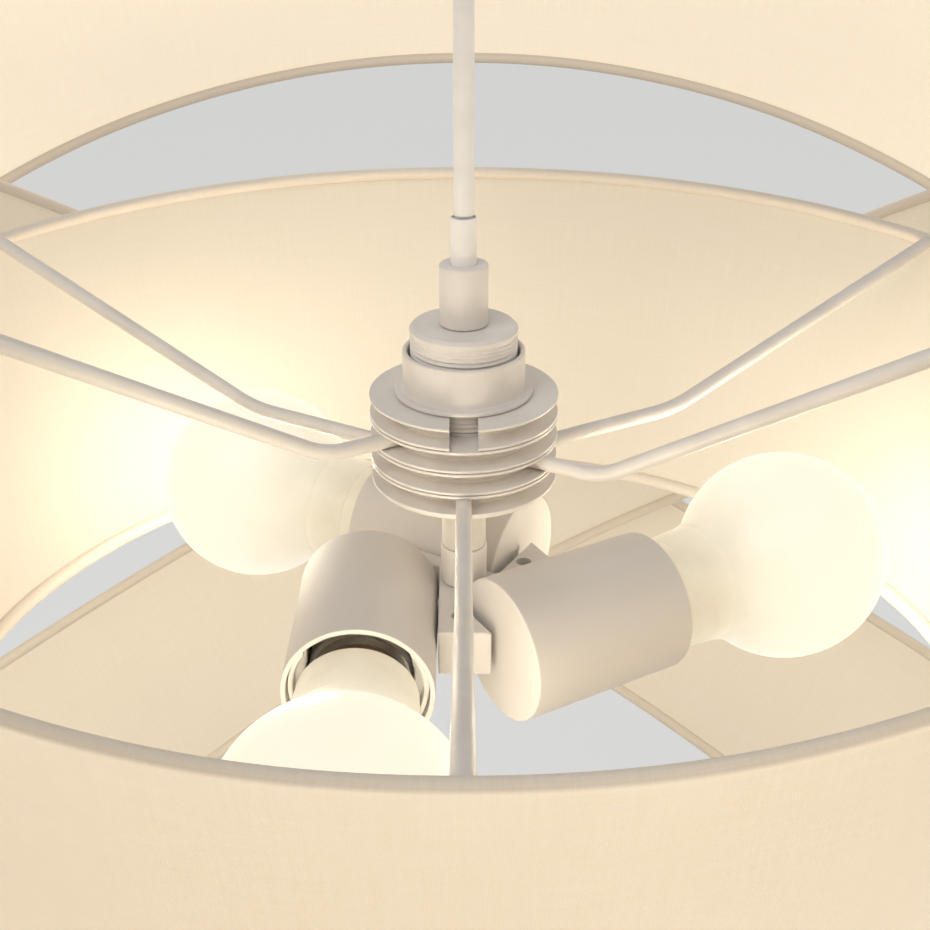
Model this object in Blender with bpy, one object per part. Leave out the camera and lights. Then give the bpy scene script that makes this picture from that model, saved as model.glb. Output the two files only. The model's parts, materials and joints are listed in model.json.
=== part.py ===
"""Fabric pendant light: a hub on a cord carries a drum shade, three tilted bands and three bulbs.

The origin is on the ceiling, at the middle of the ceiling plate, and +Z points up.
An azimuth is measured round the upright axis: 0 is the front (-Y) and 90 is the right (+X).
"""

import math

import bmesh
import bpy
from mathutils import Matrix, Vector

# Clearances, wall and wire shared by many pieces
FIT = 0.0003
OVERRUN = 0.002
WIRE_RADIUS = 0.002
FABRIC_WALL = 0.0012
HEM_TO_WIRE = 0.0025

# Facets round the pieces
RING_FACETS = 40
TURNED_FACETS = 24
SMALL_FACETS = 16
CORNER_STEPS = 2
GLOBE_STEPS = 8
BEND_STEPS = 3
HEX_SIDES = 6
SHARP_ANGLE = math.radians(35)

# Ceiling fitting
PLATE_RADIUS = 0.042
PLATE_THICKNESS = 0.0015
PLATE_SCREW_SPACING = 0.064
PLATE_SCREW_HOLE_RADIUS = 0.00225
PLATE_ENTRY_RADIUS = 0.005
PLATE_ENTRY_OFFSET = 0.024
CANOPY_RADIUS = 0.05
CANOPY_HEIGHT = 0.045
CANOPY_WALL = 0.0012
CANOPY_CORNER = 0.007
BUSH_RADIUS = 0.008
BUSH_DROP = 0.009
BUSH_RISE = 0.006
GRUB_RADIUS = 0.0015
GRUB_LENGTH = 0.0045
GRUB_SOCKET_RADIUS = 0.0008
GRUB_SOCKET_DEPTH = 0.0012
CLAMP_WIDTH = 0.022
CLAMP_DEPTH = 0.01
CLAMP_HEIGHT = 0.008
CLAMP_SCREW_SPACING = 0.014
CLAMP_SCREW_RADIUS = 0.0015
SCREW_HEAD_RADIUS = 0.0028
SCREW_HEAD_HEIGHT = 0.0018
TERMINAL_WIDTH = 0.026
TERMINAL_DEPTH = 0.013
TERMINAL_HEIGHT = 0.012
TERMINAL_WAY_RADIUS = 0.0016
TERMINAL_WAYS = 3

# Cord and what holds its end
CORD_RADIUS = 0.00243
CORD_SHOWN = 0.1033
CORD_POINTS = 11
PIVOT_GAP = 0.0005
SLEEVE_RADIUS = 0.00323
SLEEVE_SHOWN = 0.0116
SLEEVE_DEPTH = 0.006
GRIP_RADIUS = 0.00605
GRIP_HEIGHT = 0.0153
GRIP_SPIGOT_RADIUS = 0.0047
GRIP_SPIGOT_LENGTH = 0.006
GRIP_SCREW_DROP = 0.0108

# Threaded cap and the cup that it screws into
CAP_RADIUS = 0.0136
CAP_SHOWN = 0.0065
CAP_CHAMFER = 0.0009
THREAD_PITCH = 0.0012
THREAD_DEPTH = 0.0005
CAP_THREADS = 6
CAP_HEIGHT = 0.0152
CUP_RADIUS = 0.0155
CUP_WALL = 0.0013
CUP_HEIGHT = 0.0112
CUP_FLOOR = 0.0016
CUP_STEP_RADIUS = 0.0176
CUP_STEP_HEIGHT = 0.001
CABLE_HOLE_RADIUS = 0.005

# Hub: four flat spools stacked on a threaded tube
HUB_RADIUS = 0.0241
HUB_PITCH = 0.006
SPOOLS = 4
WASHER_THICKNESS = 0.00075
HUB_TUBE_RADIUS = 0.0145
HUB_TUBE_WALL = 0.0028
HUB_TUBE_FLOOR = 0.004
HUB_TUBE_THREADS = 4
SPACER_WIDTH = 0.0034
NOTCH_WIDTH = 0.007
COLLAR_RADIUS = 0.023
COLLAR_THICKNESS = 0.001

# Stem under the hub
STEM_RADIUS = 0.0059
STEM_BORE_RADIUS = 0.0043
STEM_SHOWN = 0.0195
STEM_RISE = 0.0085
STEM_NUT_RADIUS = 0.009
STEM_NUT_HEIGHT = 0.004
COUPLER_RADIUS = 0.0062
COUPLER_LENGTH = 0.0111

# Three-armed bracket
BRACKET_HEIGHT = 0.0132
BRACKET_REACH = 0.0267
BRACKET_HALF_WIDTH = 0.0067
BRACKET_SIDE_CLEARANCE = 0.0026
BRACKET_BEVEL = 0.0005
BRACKET_BORE_RADIUS = 0.0055
BRACKET_HOLE_RADIUS = 0.00215
BRACKET_HOLE_REACH = 0.0187
BRACKET_HOLE_SIDESTEP = 0.0012
PLUG_FLANGE_RADIUS = 0.0082
PLUG_FLANGE_HEIGHT = 0.0022
PLUG_SPIGOT_LENGTH = 0.004

# Lampholders
COVER_RADIUS = 0.0192
COVER_LENGTH = 0.0481
COVER_WALL = 0.0013
COVER_CORNER = 0.0006
COVER_BACKSET = 0.0044
NIPPLE_RADIUS = 0.0026
NIPPLE_BORE_RADIUS = 0.0017
NIPPLE_REACH = 0.005
NIPPLE_HOLE_DEPTH = 0.005
NIPPLE_BRACKET_DEPTH = 0.0026
NIPPLE_COVER_DEPTH = 0.001
INSERT_NECK_RADIUS = 0.012
INSERT_NECK_LENGTH = 0.014
INSERT_LENGTH = 0.036
INSERT_FLOOR = 0.011
SOCKET_RADIUS = 0.0137
CONTACT_WIDTH = 0.006
LEAD_RADIUS = 0.001

# Bulbs, measured out of the holder along its axis from the bulb's tip
BULB_TIP_REACH = 0.0139
BULB_TIP_RADIUS = 0.0048
BULB_TIP_LENGTH = 0.0024
BULB_CAP_RADIUS = 0.0132
BULB_CAP_LENGTH = 0.0242
BULB_THREAD_PITCH = 0.00363
BULB_THREAD_DEPTH = 0.0007
BULB_THREADS = 4
BULB_COLLAR_RADIUS = 0.0142
BULB_COLLAR_LENGTH = 0.0045
BULB_RADIUS = 0.03
BULB_CENTRE_REACH = 0.0919
BULB_JOIN_ANGLE = -40
BULB_NECK_SHARE = 0.52

# Drum shade
DRUM_TOP_RADIUS = 0.168
DRUM_BOTTOM_RADIUS = 0.147
DRUM_HEIGHT = 0.111
DRUM_RISE = 0.0155
DRUM_ARM_LEVEL = 0.069

# Tilted bands: each outer band is wide enough to pass round the one inside it
BAND_TILT = math.radians(31.5)
BAND_ARM_LEVEL = 0.039
BAND_CLEARANCE = 0.0008
RIGHT_BAND_RADIUS = 0.237
RIGHT_BAND_WIDTH = 0.086
RIGHT_BAND_SHIFT = -0.003
RIGHT_BAND_DROP = 0.033
LEFT_BAND_WIDTH = 0.092
LEFT_BAND_SHIFT = -0.0051
LEFT_BAND_DROP = 0.0338
BACK_BAND_WIDTH = 0.1
BACK_BAND_SHIFT = -0.0041
BACK_BAND_DROP = 0.0283
ARM_BEND = 0.004

# Azimuths
FRONT = 0.0
RIGHT_REAR = math.radians(120)
LEFT_REAR = math.radians(240)
BACK = math.radians(180)
LEFT_FRONT = math.radians(-60)
RIGHT_FRONT = math.radians(60)

# Heights worked out from the sizes above, downwards from the ceiling
SLEEVE_TOP = -(CANOPY_HEIGHT + CORD_SHOWN)
GRIP_TOP = SLEEVE_TOP - SLEEVE_SHOWN
CAP_TOP = GRIP_TOP - GRIP_HEIGHT - FIT
CUP_RIM = CAP_TOP - CAP_SHOWN
HUB_TOP = CUP_RIM - CUP_HEIGHT - FIT
SPOOL_HEIGHT = HUB_PITCH - FIT
COLLAR_TOP = HUB_TOP - SPOOLS * HUB_PITCH
COLLAR_BASE = COLLAR_TOP - COLLAR_THICKNESS
STEM_BASE = COLLAR_BASE - STEM_SHOWN
BRACKET_TOP = STEM_BASE - COUPLER_LENGTH - 2 * FIT
BRACKET_BASE = BRACKET_TOP - BRACKET_HEIGHT
HOLDER_HEIGHT = BRACKET_TOP - BRACKET_HEIGHT / 2

# Other sizes worked out from the ones above
CORD_WAY_RADIUS = CORD_RADIUS + FIT
RIM_INSET = FABRIC_WALL + FIT + 2 * WIRE_RADIUS
LEFT_BAND_RADIUS = math.hypot(RIGHT_BAND_RADIUS, RIGHT_BAND_WIDTH) + RIM_INSET + BAND_CLEARANCE
BACK_BAND_RADIUS = math.hypot(LEFT_BAND_RADIUS, LEFT_BAND_WIDTH) + RIM_INSET + BAND_CLEARANCE
HOLDER_OFFSET = BRACKET_HALF_WIDTH + FIT + COVER_RADIUS


def clear_scene():
    """Remove every object of the open scene."""
    for item in list(bpy.data.objects):
        bpy.data.objects.remove(item, do_unlink=True)


def finish(name, colour, roughness, metallic=0.0):
    """Return a plain Principled material."""
    material = bpy.data.materials.new(name)
    material.use_nodes = True
    shader = material.node_tree.nodes["Principled BSDF"]
    shader.inputs["Base Color"].default_value = (*colour, 1.0)
    shader.inputs["Roughness"].default_value = roughness
    shader.inputs["Metallic"].default_value = metallic
    material.diffuse_color = (*colour, 1.0)
    return material


def outward(azimuth):
    """Return the level direction of an azimuth."""
    return Vector((math.sin(azimuth), -math.cos(azimuth), 0))


def turned_mesh(profile, facets, closed=True):
    """Turn a profile of (radius, height) round Z; its outer side runs from top to bottom.

    A profile that isn't closed has flat ends, or a pole where its radius is zero.
    """
    shape = bmesh.new()
    rings = []
    for radius, height in profile:
        if radius == 0:
            rings.append([shape.verts.new((0, 0, height))] * facets)
            continue
        ring = []
        for step in range(facets):
            angle = math.tau * step / facets
            ring.append(shape.verts.new((radius * math.cos(angle), radius * math.sin(angle), height)))
        rings.append(ring)
    pairs = list(zip(rings, rings[1:]))
    if closed:
        pairs.append((rings[-1], rings[0]))
    for upper, lower in pairs:
        for step in range(facets):
            after = (step + 1) % facets
            corners = [upper[step], lower[step], lower[after], upper[after]]
            shape.faces.new(list(dict.fromkeys(corners)))
    if not closed and profile[0][0] > 0:
        shape.faces.new(rings[0])
    if not closed and profile[-1][0] > 0:
        shape.faces.new(rings[-1][::-1])
    return mesh_of(shape)


def mesh_of(shape):
    """Turn a bmesh into a mesh."""
    mesh = bpy.data.meshes.new("shape")
    shape.to_mesh(mesh)
    shape.free()
    return mesh


def tube_profile(outer, inner, height):
    """Return the profile of a plain tube that hangs down from its zero."""
    return [(outer, 0), (outer, -height), (inner, -height), (inner, 0)]


def rod_mesh(radius, height, facets=SMALL_FACETS):
    """Return a solid rod that hangs down from its zero."""
    return turned_mesh([(radius, 0), (radius, -height)], facets, closed=False)


def box_mesh(low, high):
    """Return a box between two corners."""
    shape = bmesh.new()
    bmesh.ops.create_cube(shape, size=1)
    size = Vector(high) - Vector(low)
    middle = (Vector(high) + Vector(low)) / 2
    bmesh.ops.scale(shape, vec=size, verts=shape.verts)
    bmesh.ops.translate(shape, vec=middle, verts=shape.verts)
    return mesh_of(shape)


def wire_mesh(points, radius, cyclic=False, sides_level=1):
    """Sweep a round wire through points, with a curve that has filled ends."""
    curve = bpy.data.curves.new("wire", "CURVE")
    curve.dimensions = "3D"
    curve.bevel_depth = radius
    curve.bevel_resolution = sides_level
    curve.use_fill_caps = True
    spline = curve.splines.new("POLY")
    spline.points.add(len(points) - 1)
    for place, point in zip(spline.points, points):
        place.co = (*point, 1)
    spline.use_cyclic_u = cyclic
    guide = bpy.data.objects.new("wire", curve)
    mesh = bpy.data.meshes.new_from_object(guide)
    bpy.data.objects.remove(guide)
    return mesh


def moved(mesh, matrix):
    """Return the mesh after moving it by a matrix."""
    mesh.transform(matrix)
    return mesh


def combined(base, other, operation):
    """Return the base mesh joined with the other one, or cut by it."""
    body = bpy.data.objects.new("body", base)
    tool = bpy.data.objects.new("tool", other)
    bpy.context.scene.collection.objects.link(body)
    bpy.context.scene.collection.objects.link(tool)
    step = body.modifiers.new("step", "BOOLEAN")
    step.operation = operation
    step.solver = "EXACT"
    step.object = tool
    graph = bpy.context.evaluated_depsgraph_get()
    result = bpy.data.meshes.new_from_object(body.evaluated_get(graph))
    bpy.data.objects.remove(body)
    bpy.data.objects.remove(tool)
    return result


def cut(base, *tools):
    """Cut the base mesh by each tool in turn."""
    for tool in tools:
        base = combined(base, tool, "DIFFERENCE")
    return base


def joined(base, *others):
    """Join the base mesh with each other one."""
    for other in others:
        base = combined(base, other, "UNION")
    return base


def axis_matrix(place, along, level=Vector((0, 0, 1))):
    """Return the matrix whose Z runs along a direction and whose X is as near as can be to level."""
    z_axis = Vector(along).normalized()
    y_axis = z_axis.cross(level).normalized()
    x_axis = y_axis.cross(z_axis)
    matrix = Matrix((x_axis, y_axis, z_axis)).transposed().to_4x4()
    matrix.translation = place
    return matrix


def empty(name, matrix, parent=None):
    """Add an empty that stands on a joint's axis."""
    item = bpy.data.objects.new(name, None)
    bpy.context.scene.collection.objects.link(item)
    attach(item, matrix, parent)
    return item


def attach(item, matrix, parent):
    """Place an object in the world and parent it where it stands."""
    if parent:
        item.parent = parent
        item.matrix_parent_inverse = parent.matrix_world.inverted()
    item.matrix_basis = matrix
    bpy.context.view_layer.update()


def piece(name, mesh, material, matrix, parent=None):
    """Add one sub-part with its own material."""
    mesh.name = name
    mesh.materials.clear()
    mesh.materials.append(material)
    mesh.shade_smooth()
    mesh.set_sharp_from_angle(angle=SHARP_ANGLE)
    item = bpy.data.objects.new(name, mesh)
    bpy.context.scene.collection.objects.link(item)
    attach(item, matrix, parent)
    return item


def at_height(height):
    """Return the matrix of a piece that sits on the upright axis at this height."""
    return Matrix.Translation((0, 0, height))


def arc_points(centre, radius, start, end, steps):
    """Return points (radius, height) on an arc, with its angles in degrees from outwards."""
    points = []
    for step in range(steps + 1):
        angle = math.radians(start + (end - start) * step / steps)
        points.append((centre[0] + radius * math.cos(angle), centre[1] + radius * math.sin(angle)))
    return points


def thread_profile(crest, depth, pitch, turns, top):
    """Return the outer side of a row of thread ridges, downwards from its top."""
    points = []
    for turn in range(turns):
        points.append((crest - depth, top - turn * pitch))
        points.append((crest, top - (turn + 0.5) * pitch))
    points.append((crest - depth, top - turns * pitch))
    return points


def screw_mesh(radius, length, head_radius, head_height):
    """Return a screw whose head is at the bottom and whose shank points up from zero."""
    profile = [
        (radius, length),
        (radius, 0),
        (head_radius, 0),
        (head_radius, -head_height),
    ]
    return turned_mesh(profile, SMALL_FACETS, closed=False)


def grub_mesh():
    """Return a grub screw along Z with its key socket at the top."""
    profile = [
        (GRUB_SOCKET_RADIUS, -GRUB_SOCKET_DEPTH),
        (GRUB_SOCKET_RADIUS, 0),
        (GRUB_RADIUS, 0),
        (GRUB_RADIUS, -GRUB_LENGTH),
    ]
    return turned_mesh(profile, SMALL_FACETS, closed=False)


def ceiling_plate(material):
    """Flat plate against the ceiling, with two screw holes and the way in for the mains."""
    plate = rod_mesh(PLATE_RADIUS, PLATE_THICKNESS, RING_FACETS)
    hole_length = PLATE_THICKNESS + 2 * OVERRUN
    for side in (-1, 1):
        hole = rod_mesh(PLATE_SCREW_HOLE_RADIUS, hole_length)
        place = Matrix.Translation((side * PLATE_SCREW_SPACING / 2, 0, OVERRUN))
        plate = cut(plate, moved(hole, place))
    entry = moved(
        rod_mesh(PLATE_ENTRY_RADIUS, hole_length), Matrix.Translation((0, PLATE_ENTRY_OFFSET, OVERRUN))
    )
    piece("ceiling_plate", cut(plate, entry), material, at_height(0))


def cord_clamp(block_material, screw_material):
    """Block that grips the cord under the plate, with its two screws."""
    half_width = CLAMP_WIDTH / 2
    half_depth = CLAMP_DEPTH / 2
    block = box_mesh((-half_width, -half_depth, -CLAMP_HEIGHT), (half_width, half_depth, 0))
    hole_length = CLAMP_HEIGHT + 2 * OVERRUN
    block = cut(block, moved(rod_mesh(CORD_WAY_RADIUS, hole_length), at_height(OVERRUN)))
    top = -PLATE_THICKNESS - FIT
    shank = CLAMP_HEIGHT + FIT
    for side, name in ((-1, "clamp_screw_left"), (1, "clamp_screw_right")):
        across = side * CLAMP_SCREW_SPACING / 2
        hole = rod_mesh(CLAMP_SCREW_RADIUS + FIT, hole_length)
        block = cut(block, moved(hole, Matrix.Translation((across, 0, OVERRUN))))
        screw = screw_mesh(CLAMP_SCREW_RADIUS, shank, SCREW_HEAD_RADIUS, SCREW_HEAD_HEIGHT)
        place = Matrix.Translation((across, 0, top - CLAMP_HEIGHT - FIT))
        piece(name, screw, screw_material, place)
    piece("cord_clamp", block, block_material, at_height(top))


def terminal_block(material):
    """Block that joins the cord to the mains, with its through ways."""
    half_width = TERMINAL_WIDTH / 2
    block = box_mesh((-half_width, 0, -TERMINAL_HEIGHT), (half_width, TERMINAL_DEPTH, 0))
    spacing = TERMINAL_WIDTH / TERMINAL_WAYS
    for way in range(TERMINAL_WAYS):
        across = (way + 0.5) * spacing - half_width
        hole = rod_mesh(TERMINAL_WAY_RADIUS, TERMINAL_DEPTH + 2 * OVERRUN)
        place = Vector((across, TERMINAL_DEPTH + OVERRUN, -TERMINAL_HEIGHT / 2))
        block = cut(block, moved(hole, axis_matrix(place, (0, 1, 0))))
    front = -CLAMP_DEPTH / 2 - FIT - TERMINAL_DEPTH
    piece("terminal_block", block, material, Matrix.Translation((0, front, -PLATE_THICKNESS - FIT)))


def supply_cord(material):
    """Straight cord from the clamp down to the sleeve."""
    curve = bpy.data.curves.new("supply_cord", "CURVE")
    curve.dimensions = "3D"
    curve.bevel_depth = CORD_RADIUS
    curve.bevel_resolution = 2
    curve.use_fill_caps = True
    top = -PLATE_THICKNESS - 2 * FIT
    bottom = SLEEVE_TOP + PIVOT_GAP
    spline = curve.splines.new("POLY")
    spline.points.add(CORD_POINTS - 1)
    for step, place in enumerate(spline.points):
        place.co = (0, 0, top + (bottom - top) * step / (CORD_POINTS - 1), 1)
    curve.materials.append(material)
    item = bpy.data.objects.new("supply_cord", curve)
    bpy.context.scene.collection.objects.link(item)


def canopy(cup_material, bush_material, screw_material):
    """Cup that hides the ceiling plate, and the bush that grips the cord under it."""
    slide = empty("canopy_slide", at_height(0))
    inner = CANOPY_RADIUS - CANOPY_WALL
    corner = -CANOPY_HEIGHT + CANOPY_CORNER
    centre = (CANOPY_RADIUS - CANOPY_CORNER, corner)
    outer_arc = arc_points(centre, CANOPY_CORNER, 0, -90, CORNER_STEPS)
    inner_arc = arc_points(centre, CANOPY_CORNER - CANOPY_WALL, -90, 0, CORNER_STEPS)
    profile = [(CANOPY_RADIUS, -FIT)] + outer_arc
    profile += [(BUSH_RADIUS, -CANOPY_HEIGHT), (BUSH_RADIUS, -CANOPY_HEIGHT + CANOPY_WALL)]
    profile += inner_arc + [(inner, -FIT)]
    piece("canopy_cup", turned_mesh(profile, RING_FACETS), cup_material, at_height(0), slide)
    neck = BUSH_RADIUS - FIT
    flange = BUSH_RADIUS + CANOPY_WALL
    bush = [
        (neck, BUSH_RISE),
        (neck, 0),
        (flange, 0),
        (flange, -BUSH_DROP),
        (CORD_WAY_RADIUS, -BUSH_DROP),
        (CORD_WAY_RADIUS, BUSH_RISE),
    ]
    middle = -BUSH_DROP / 2
    outside = Vector((flange + OVERRUN, 0, middle))
    hole = moved(rod_mesh(GRUB_RADIUS + FIT, flange + OVERRUN), axis_matrix(outside, (1, 0, 0)))
    bush_mesh = cut(turned_mesh(bush, TURNED_FACETS), hole)
    bush_top = -CANOPY_HEIGHT - FIT
    piece("canopy_bush", bush_mesh, bush_material, at_height(bush_top), slide)
    grub_start = CORD_RADIUS + 2 * FIT + GRUB_LENGTH
    place = axis_matrix(Vector((grub_start, 0, bush_top + middle)), (1, 0, 0))
    piece("canopy_grub_screw", grub_mesh(), screw_material, place, slide)


def hanger(swing, sleeve_material, grip_material, screw_material, cord_material):
    """Sleeve and grip that hold the cord's end, with the grip's screw."""
    way = CORD_WAY_RADIUS
    length = SLEEVE_SHOWN + SLEEVE_DEPTH
    sleeve = tube_profile(SLEEVE_RADIUS, way, length)
    piece("cord_sleeve", turned_mesh(sleeve, TURNED_FACETS), sleeve_material, at_height(SLEEVE_TOP), swing)
    seat = -SLEEVE_DEPTH - FIT
    grip = [
        (GRIP_RADIUS, 0),
        (GRIP_RADIUS, -GRIP_HEIGHT),
        (GRIP_SPIGOT_RADIUS, -GRIP_HEIGHT),
        (GRIP_SPIGOT_RADIUS, -GRIP_HEIGHT - GRIP_SPIGOT_LENGTH),
        (way, -GRIP_HEIGHT - GRIP_SPIGOT_LENGTH),
        (way, seat),
        (SLEEVE_RADIUS + FIT, seat),
        (SLEEVE_RADIUS + FIT, 0),
    ]
    place = Vector((0, GRIP_RADIUS + OVERRUN, -GRIP_SCREW_DROP))
    hole = moved(rod_mesh(GRUB_RADIUS + FIT, GRIP_RADIUS + OVERRUN), axis_matrix(place, (0, 1, 0)))
    grip_mesh = cut(turned_mesh(grip, TURNED_FACETS), hole)
    piece("cord_grip", grip_mesh, grip_material, at_height(GRIP_TOP), swing)
    screw_place = Vector((0, CORD_RADIUS + 2 * FIT + GRUB_LENGTH, GRIP_TOP - GRIP_SCREW_DROP))
    piece("grip_screw", grub_mesh(), screw_material, axis_matrix(screw_place, (0, 1, 0)), swing)
    core_length = length + GRIP_HEIGHT - SLEEVE_DEPTH + GRIP_SPIGOT_LENGTH
    core = rod_mesh(CORD_RADIUS, core_length - FIT)
    piece("cord_in_grip", core, cord_material, at_height(SLEEVE_TOP - FIT), swing)


def cap_and_cup(turn, material):
    """Threaded cap, and the cup that it screws into on top of the hub."""
    way = GRIP_SPIGOT_RADIUS + FIT
    profile = [(CAP_RADIUS - CAP_CHAMFER, 0), (CAP_RADIUS, -CAP_CHAMFER)]
    profile += thread_profile(CAP_RADIUS, THREAD_DEPTH, THREAD_PITCH, CAP_THREADS, -2 * CAP_CHAMFER)
    profile += [(CAP_RADIUS - THREAD_DEPTH, -CAP_HEIGHT), (way, -CAP_HEIGHT), (way, 0)]
    piece("threaded_cap", turned_mesh(profile, TURNED_FACETS), material, at_height(CAP_TOP), turn)
    inner = CUP_RADIUS - CUP_WALL
    rounding = CUP_WALL / 2
    floor = -CUP_HEIGHT + CUP_FLOOR
    cup = arc_points((CUP_RADIUS - rounding, -rounding), rounding, 90, 0, CORNER_STEPS)
    cup += [
        (CUP_RADIUS, -CUP_HEIGHT + CUP_STEP_HEIGHT),
        (CUP_STEP_RADIUS, -CUP_HEIGHT + CUP_STEP_HEIGHT),
        (CUP_STEP_RADIUS, -CUP_HEIGHT),
        (CABLE_HOLE_RADIUS, -CUP_HEIGHT),
        (CABLE_HOLE_RADIUS, floor),
        (inner, floor),
        (inner, -rounding),
    ]
    piece("hub_cup", turned_mesh(cup, TURNED_FACETS), material, at_height(CUP_RIM), turn)


def hub_core(turn, material, steel):
    """Threaded tube through the hub, the collar under it and the nut that holds the stem."""
    top = HUB_TOP
    length = top - COLLAR_BASE
    bore = STEM_RADIUS + FIT
    inner = HUB_TUBE_RADIUS - HUB_TUBE_WALL
    profile = thread_profile(HUB_TUBE_RADIUS, THREAD_DEPTH, THREAD_PITCH, HUB_TUBE_THREADS, 0)
    profile += [
        (HUB_TUBE_RADIUS - THREAD_DEPTH, -length),
        (bore, -length),
        (bore, -length + HUB_TUBE_FLOOR),
        (inner, -length + HUB_TUBE_FLOOR),
        (inner, 0),
    ]
    piece("hub_tube", turned_mesh(profile, TURNED_FACETS), material, at_height(top), turn)
    collar = tube_profile(COLLAR_RADIUS, HUB_TUBE_RADIUS + FIT, COLLAR_THICKNESS)
    piece("hub_collar", turned_mesh(collar, TURNED_FACETS), material, at_height(COLLAR_TOP), turn)
    hole = rod_mesh(bore, STEM_NUT_HEIGHT + 2 * OVERRUN, TURNED_FACETS)
    nut = cut(rod_mesh(STEM_NUT_RADIUS, STEM_NUT_HEIGHT, HEX_SIDES), moved(hole, at_height(OVERRUN)))
    nut_top = COLLAR_BASE + HUB_TUBE_FLOOR + FIT + STEM_NUT_HEIGHT
    piece("stem_nut", nut, steel, at_height(nut_top), turn)


def stem(turn, material, cable_material):
    """Stem from the hub to the bracket, in two tubes, with the cable inside."""
    stem_top = COLLAR_BASE + STEM_RISE
    upper = tube_profile(STEM_RADIUS, STEM_BORE_RADIUS, stem_top - STEM_BASE)
    piece("stem_tube", turned_mesh(upper, TURNED_FACETS), material, at_height(stem_top), turn)
    coupler = tube_profile(COUPLER_RADIUS, STEM_BORE_RADIUS, COUPLER_LENGTH)
    piece("stem_coupler", turned_mesh(coupler, TURNED_FACETS), material, at_height(STEM_BASE - FIT), turn)
    cable_top = GRIP_TOP - GRIP_HEIGHT - GRIP_SPIGOT_LENGTH - FIT
    cable = rod_mesh(CORD_RADIUS, cable_top - STEM_BASE)
    piece("stem_cable", cable, cable_material, at_height(cable_top), turn)


def spool_mesh():
    """Return a flat spool of two washers round a spacer, about its middle height."""
    half = SPOOL_HEIGHT / 2
    bore = HUB_TUBE_RADIUS + 2 * FIT
    core = bore + SPACER_WIDTH
    profile = [
        (HUB_RADIUS, half),
        (HUB_RADIUS, half - WASHER_THICKNESS),
        (core, half - WASHER_THICKNESS),
        (core, -half + WASHER_THICKNESS),
        (HUB_RADIUS, -half + WASHER_THICKNESS),
        (HUB_RADIUS, -half),
        (bore, -half),
        (bore, half),
    ]
    return turned_mesh(profile, TURNED_FACETS)


def spool_height(level):
    """Return the middle height of the spool at this level of the stack, 0 at the top."""
    return HUB_TOP - level * HUB_PITCH - SPOOL_HEIGHT / 2


def arm_mesh(azimuth, level_reach, end):
    """Return an arm: level from the spacer, bent once, then straight to its end on the ring."""
    along = outward(azimuth)
    start = along * (HUB_TUBE_RADIUS + SPACER_WIDTH / 2)
    corner = along * level_reach
    rising = (end - corner).normalized()
    before = corner - along * ARM_BEND
    after = corner + rising * ARM_BEND
    points = [start]
    for step in range(BEND_STEPS + 1):
        share = step / BEND_STEPS
        points.append(before.lerp(corner, share).lerp(corner.lerp(after, share), share))
    points.append(end)
    return wire_mesh(points, WIRE_RADIUS)


def ring_points(radius):
    """Return the points of a level ring about zero."""
    turns = [math.tau * step / RING_FACETS for step in range(RING_FACETS)]
    return [Vector((radius * math.cos(turn), radius * math.sin(turn), 0)) for turn in turns]


def notch_mesh(azimuth):
    """Return the cutter of the keying notch, through the whole spool."""
    half = NOTCH_WIDTH / 2
    start = HUB_TUBE_RADIUS / 2
    block = box_mesh((start, -half, -HUB_PITCH), (HUB_RADIUS + OVERRUN, half, HUB_PITCH))
    return moved(block, Matrix.Rotation(azimuth - math.pi / 2, 4, "Z"))


def band_matrix(azimuth, shift, drop):
    """Return the matrix of a tilted band: zero at its top edge's middle, X to its high side."""
    along = outward(azimuth)
    rising = along * math.cos(BAND_TILT) + Vector((0, 0, math.sin(BAND_TILT)))
    axis = Vector((0, 0, math.cos(BAND_TILT))) - along * math.sin(BAND_TILT)
    place = along * shift + Vector((0, 0, HUB_TOP - drop))
    return axis_matrix(place, axis, rising)


def shade(name, turn, matrix, top_radius, bottom_radius, height, spider, fabric, wire_finish):
    """Add a shade's fabric wall, its spider and its lower ring."""
    slope = math.atan2(top_radius - bottom_radius, height)
    wall = FABRIC_WALL / math.cos(slope)
    profile = [
        (top_radius, 0),
        (bottom_radius, -height),
        (bottom_radius - wall, -height),
        (top_radius - wall, 0),
    ]
    piece(name + "_fabric", turned_mesh(profile, RING_FACETS), fabric, matrix, turn)
    lower_radius = bottom_radius + HEM_TO_WIRE * math.tan(slope) - wire_inset(slope)
    lower_place = matrix @ at_height(-height + HEM_TO_WIRE)
    ring = wire_mesh(ring_points(lower_radius), WIRE_RADIUS, cyclic=True)
    piece(name + "_lower_ring", ring, wire_finish, lower_place, turn)
    level, arms, level_reach = spider
    origin = at_height(spool_height(level))
    upper_radius = top_radius - HEM_TO_WIRE * math.tan(slope) - wire_inset(slope)
    to_ring = origin.inverted() @ matrix @ at_height(-HEM_TO_WIRE)
    body = spool_mesh()
    if len(arms) == 1:
        body = cut(body, notch_mesh(arms[0] + math.pi))
    for azimuth in arms:
        end = nearest_on_ring(to_ring, upper_radius, azimuth)
        body = joined(body, arm_mesh(azimuth, level_reach, end))
    upper_ring = moved(wire_mesh(ring_points(upper_radius), WIRE_RADIUS, cyclic=True), to_ring)
    piece(name + "_spider", joined(body, upper_ring), wire_finish, origin, turn)


def wire_inset(slope):
    """Return how far a ring's middle lies inside the fabric's outer face, measured level."""
    return (FABRIC_WALL + FIT + WIRE_RADIUS) / math.cos(slope)


def nearest_on_ring(to_ring, radius, azimuth):
    """Return the point of the placed ring that lies towards an azimuth."""
    along = to_ring.to_3x3().inverted() @ outward(azimuth)
    along.z = 0
    return to_ring @ (along.normalized() * radius)


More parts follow.
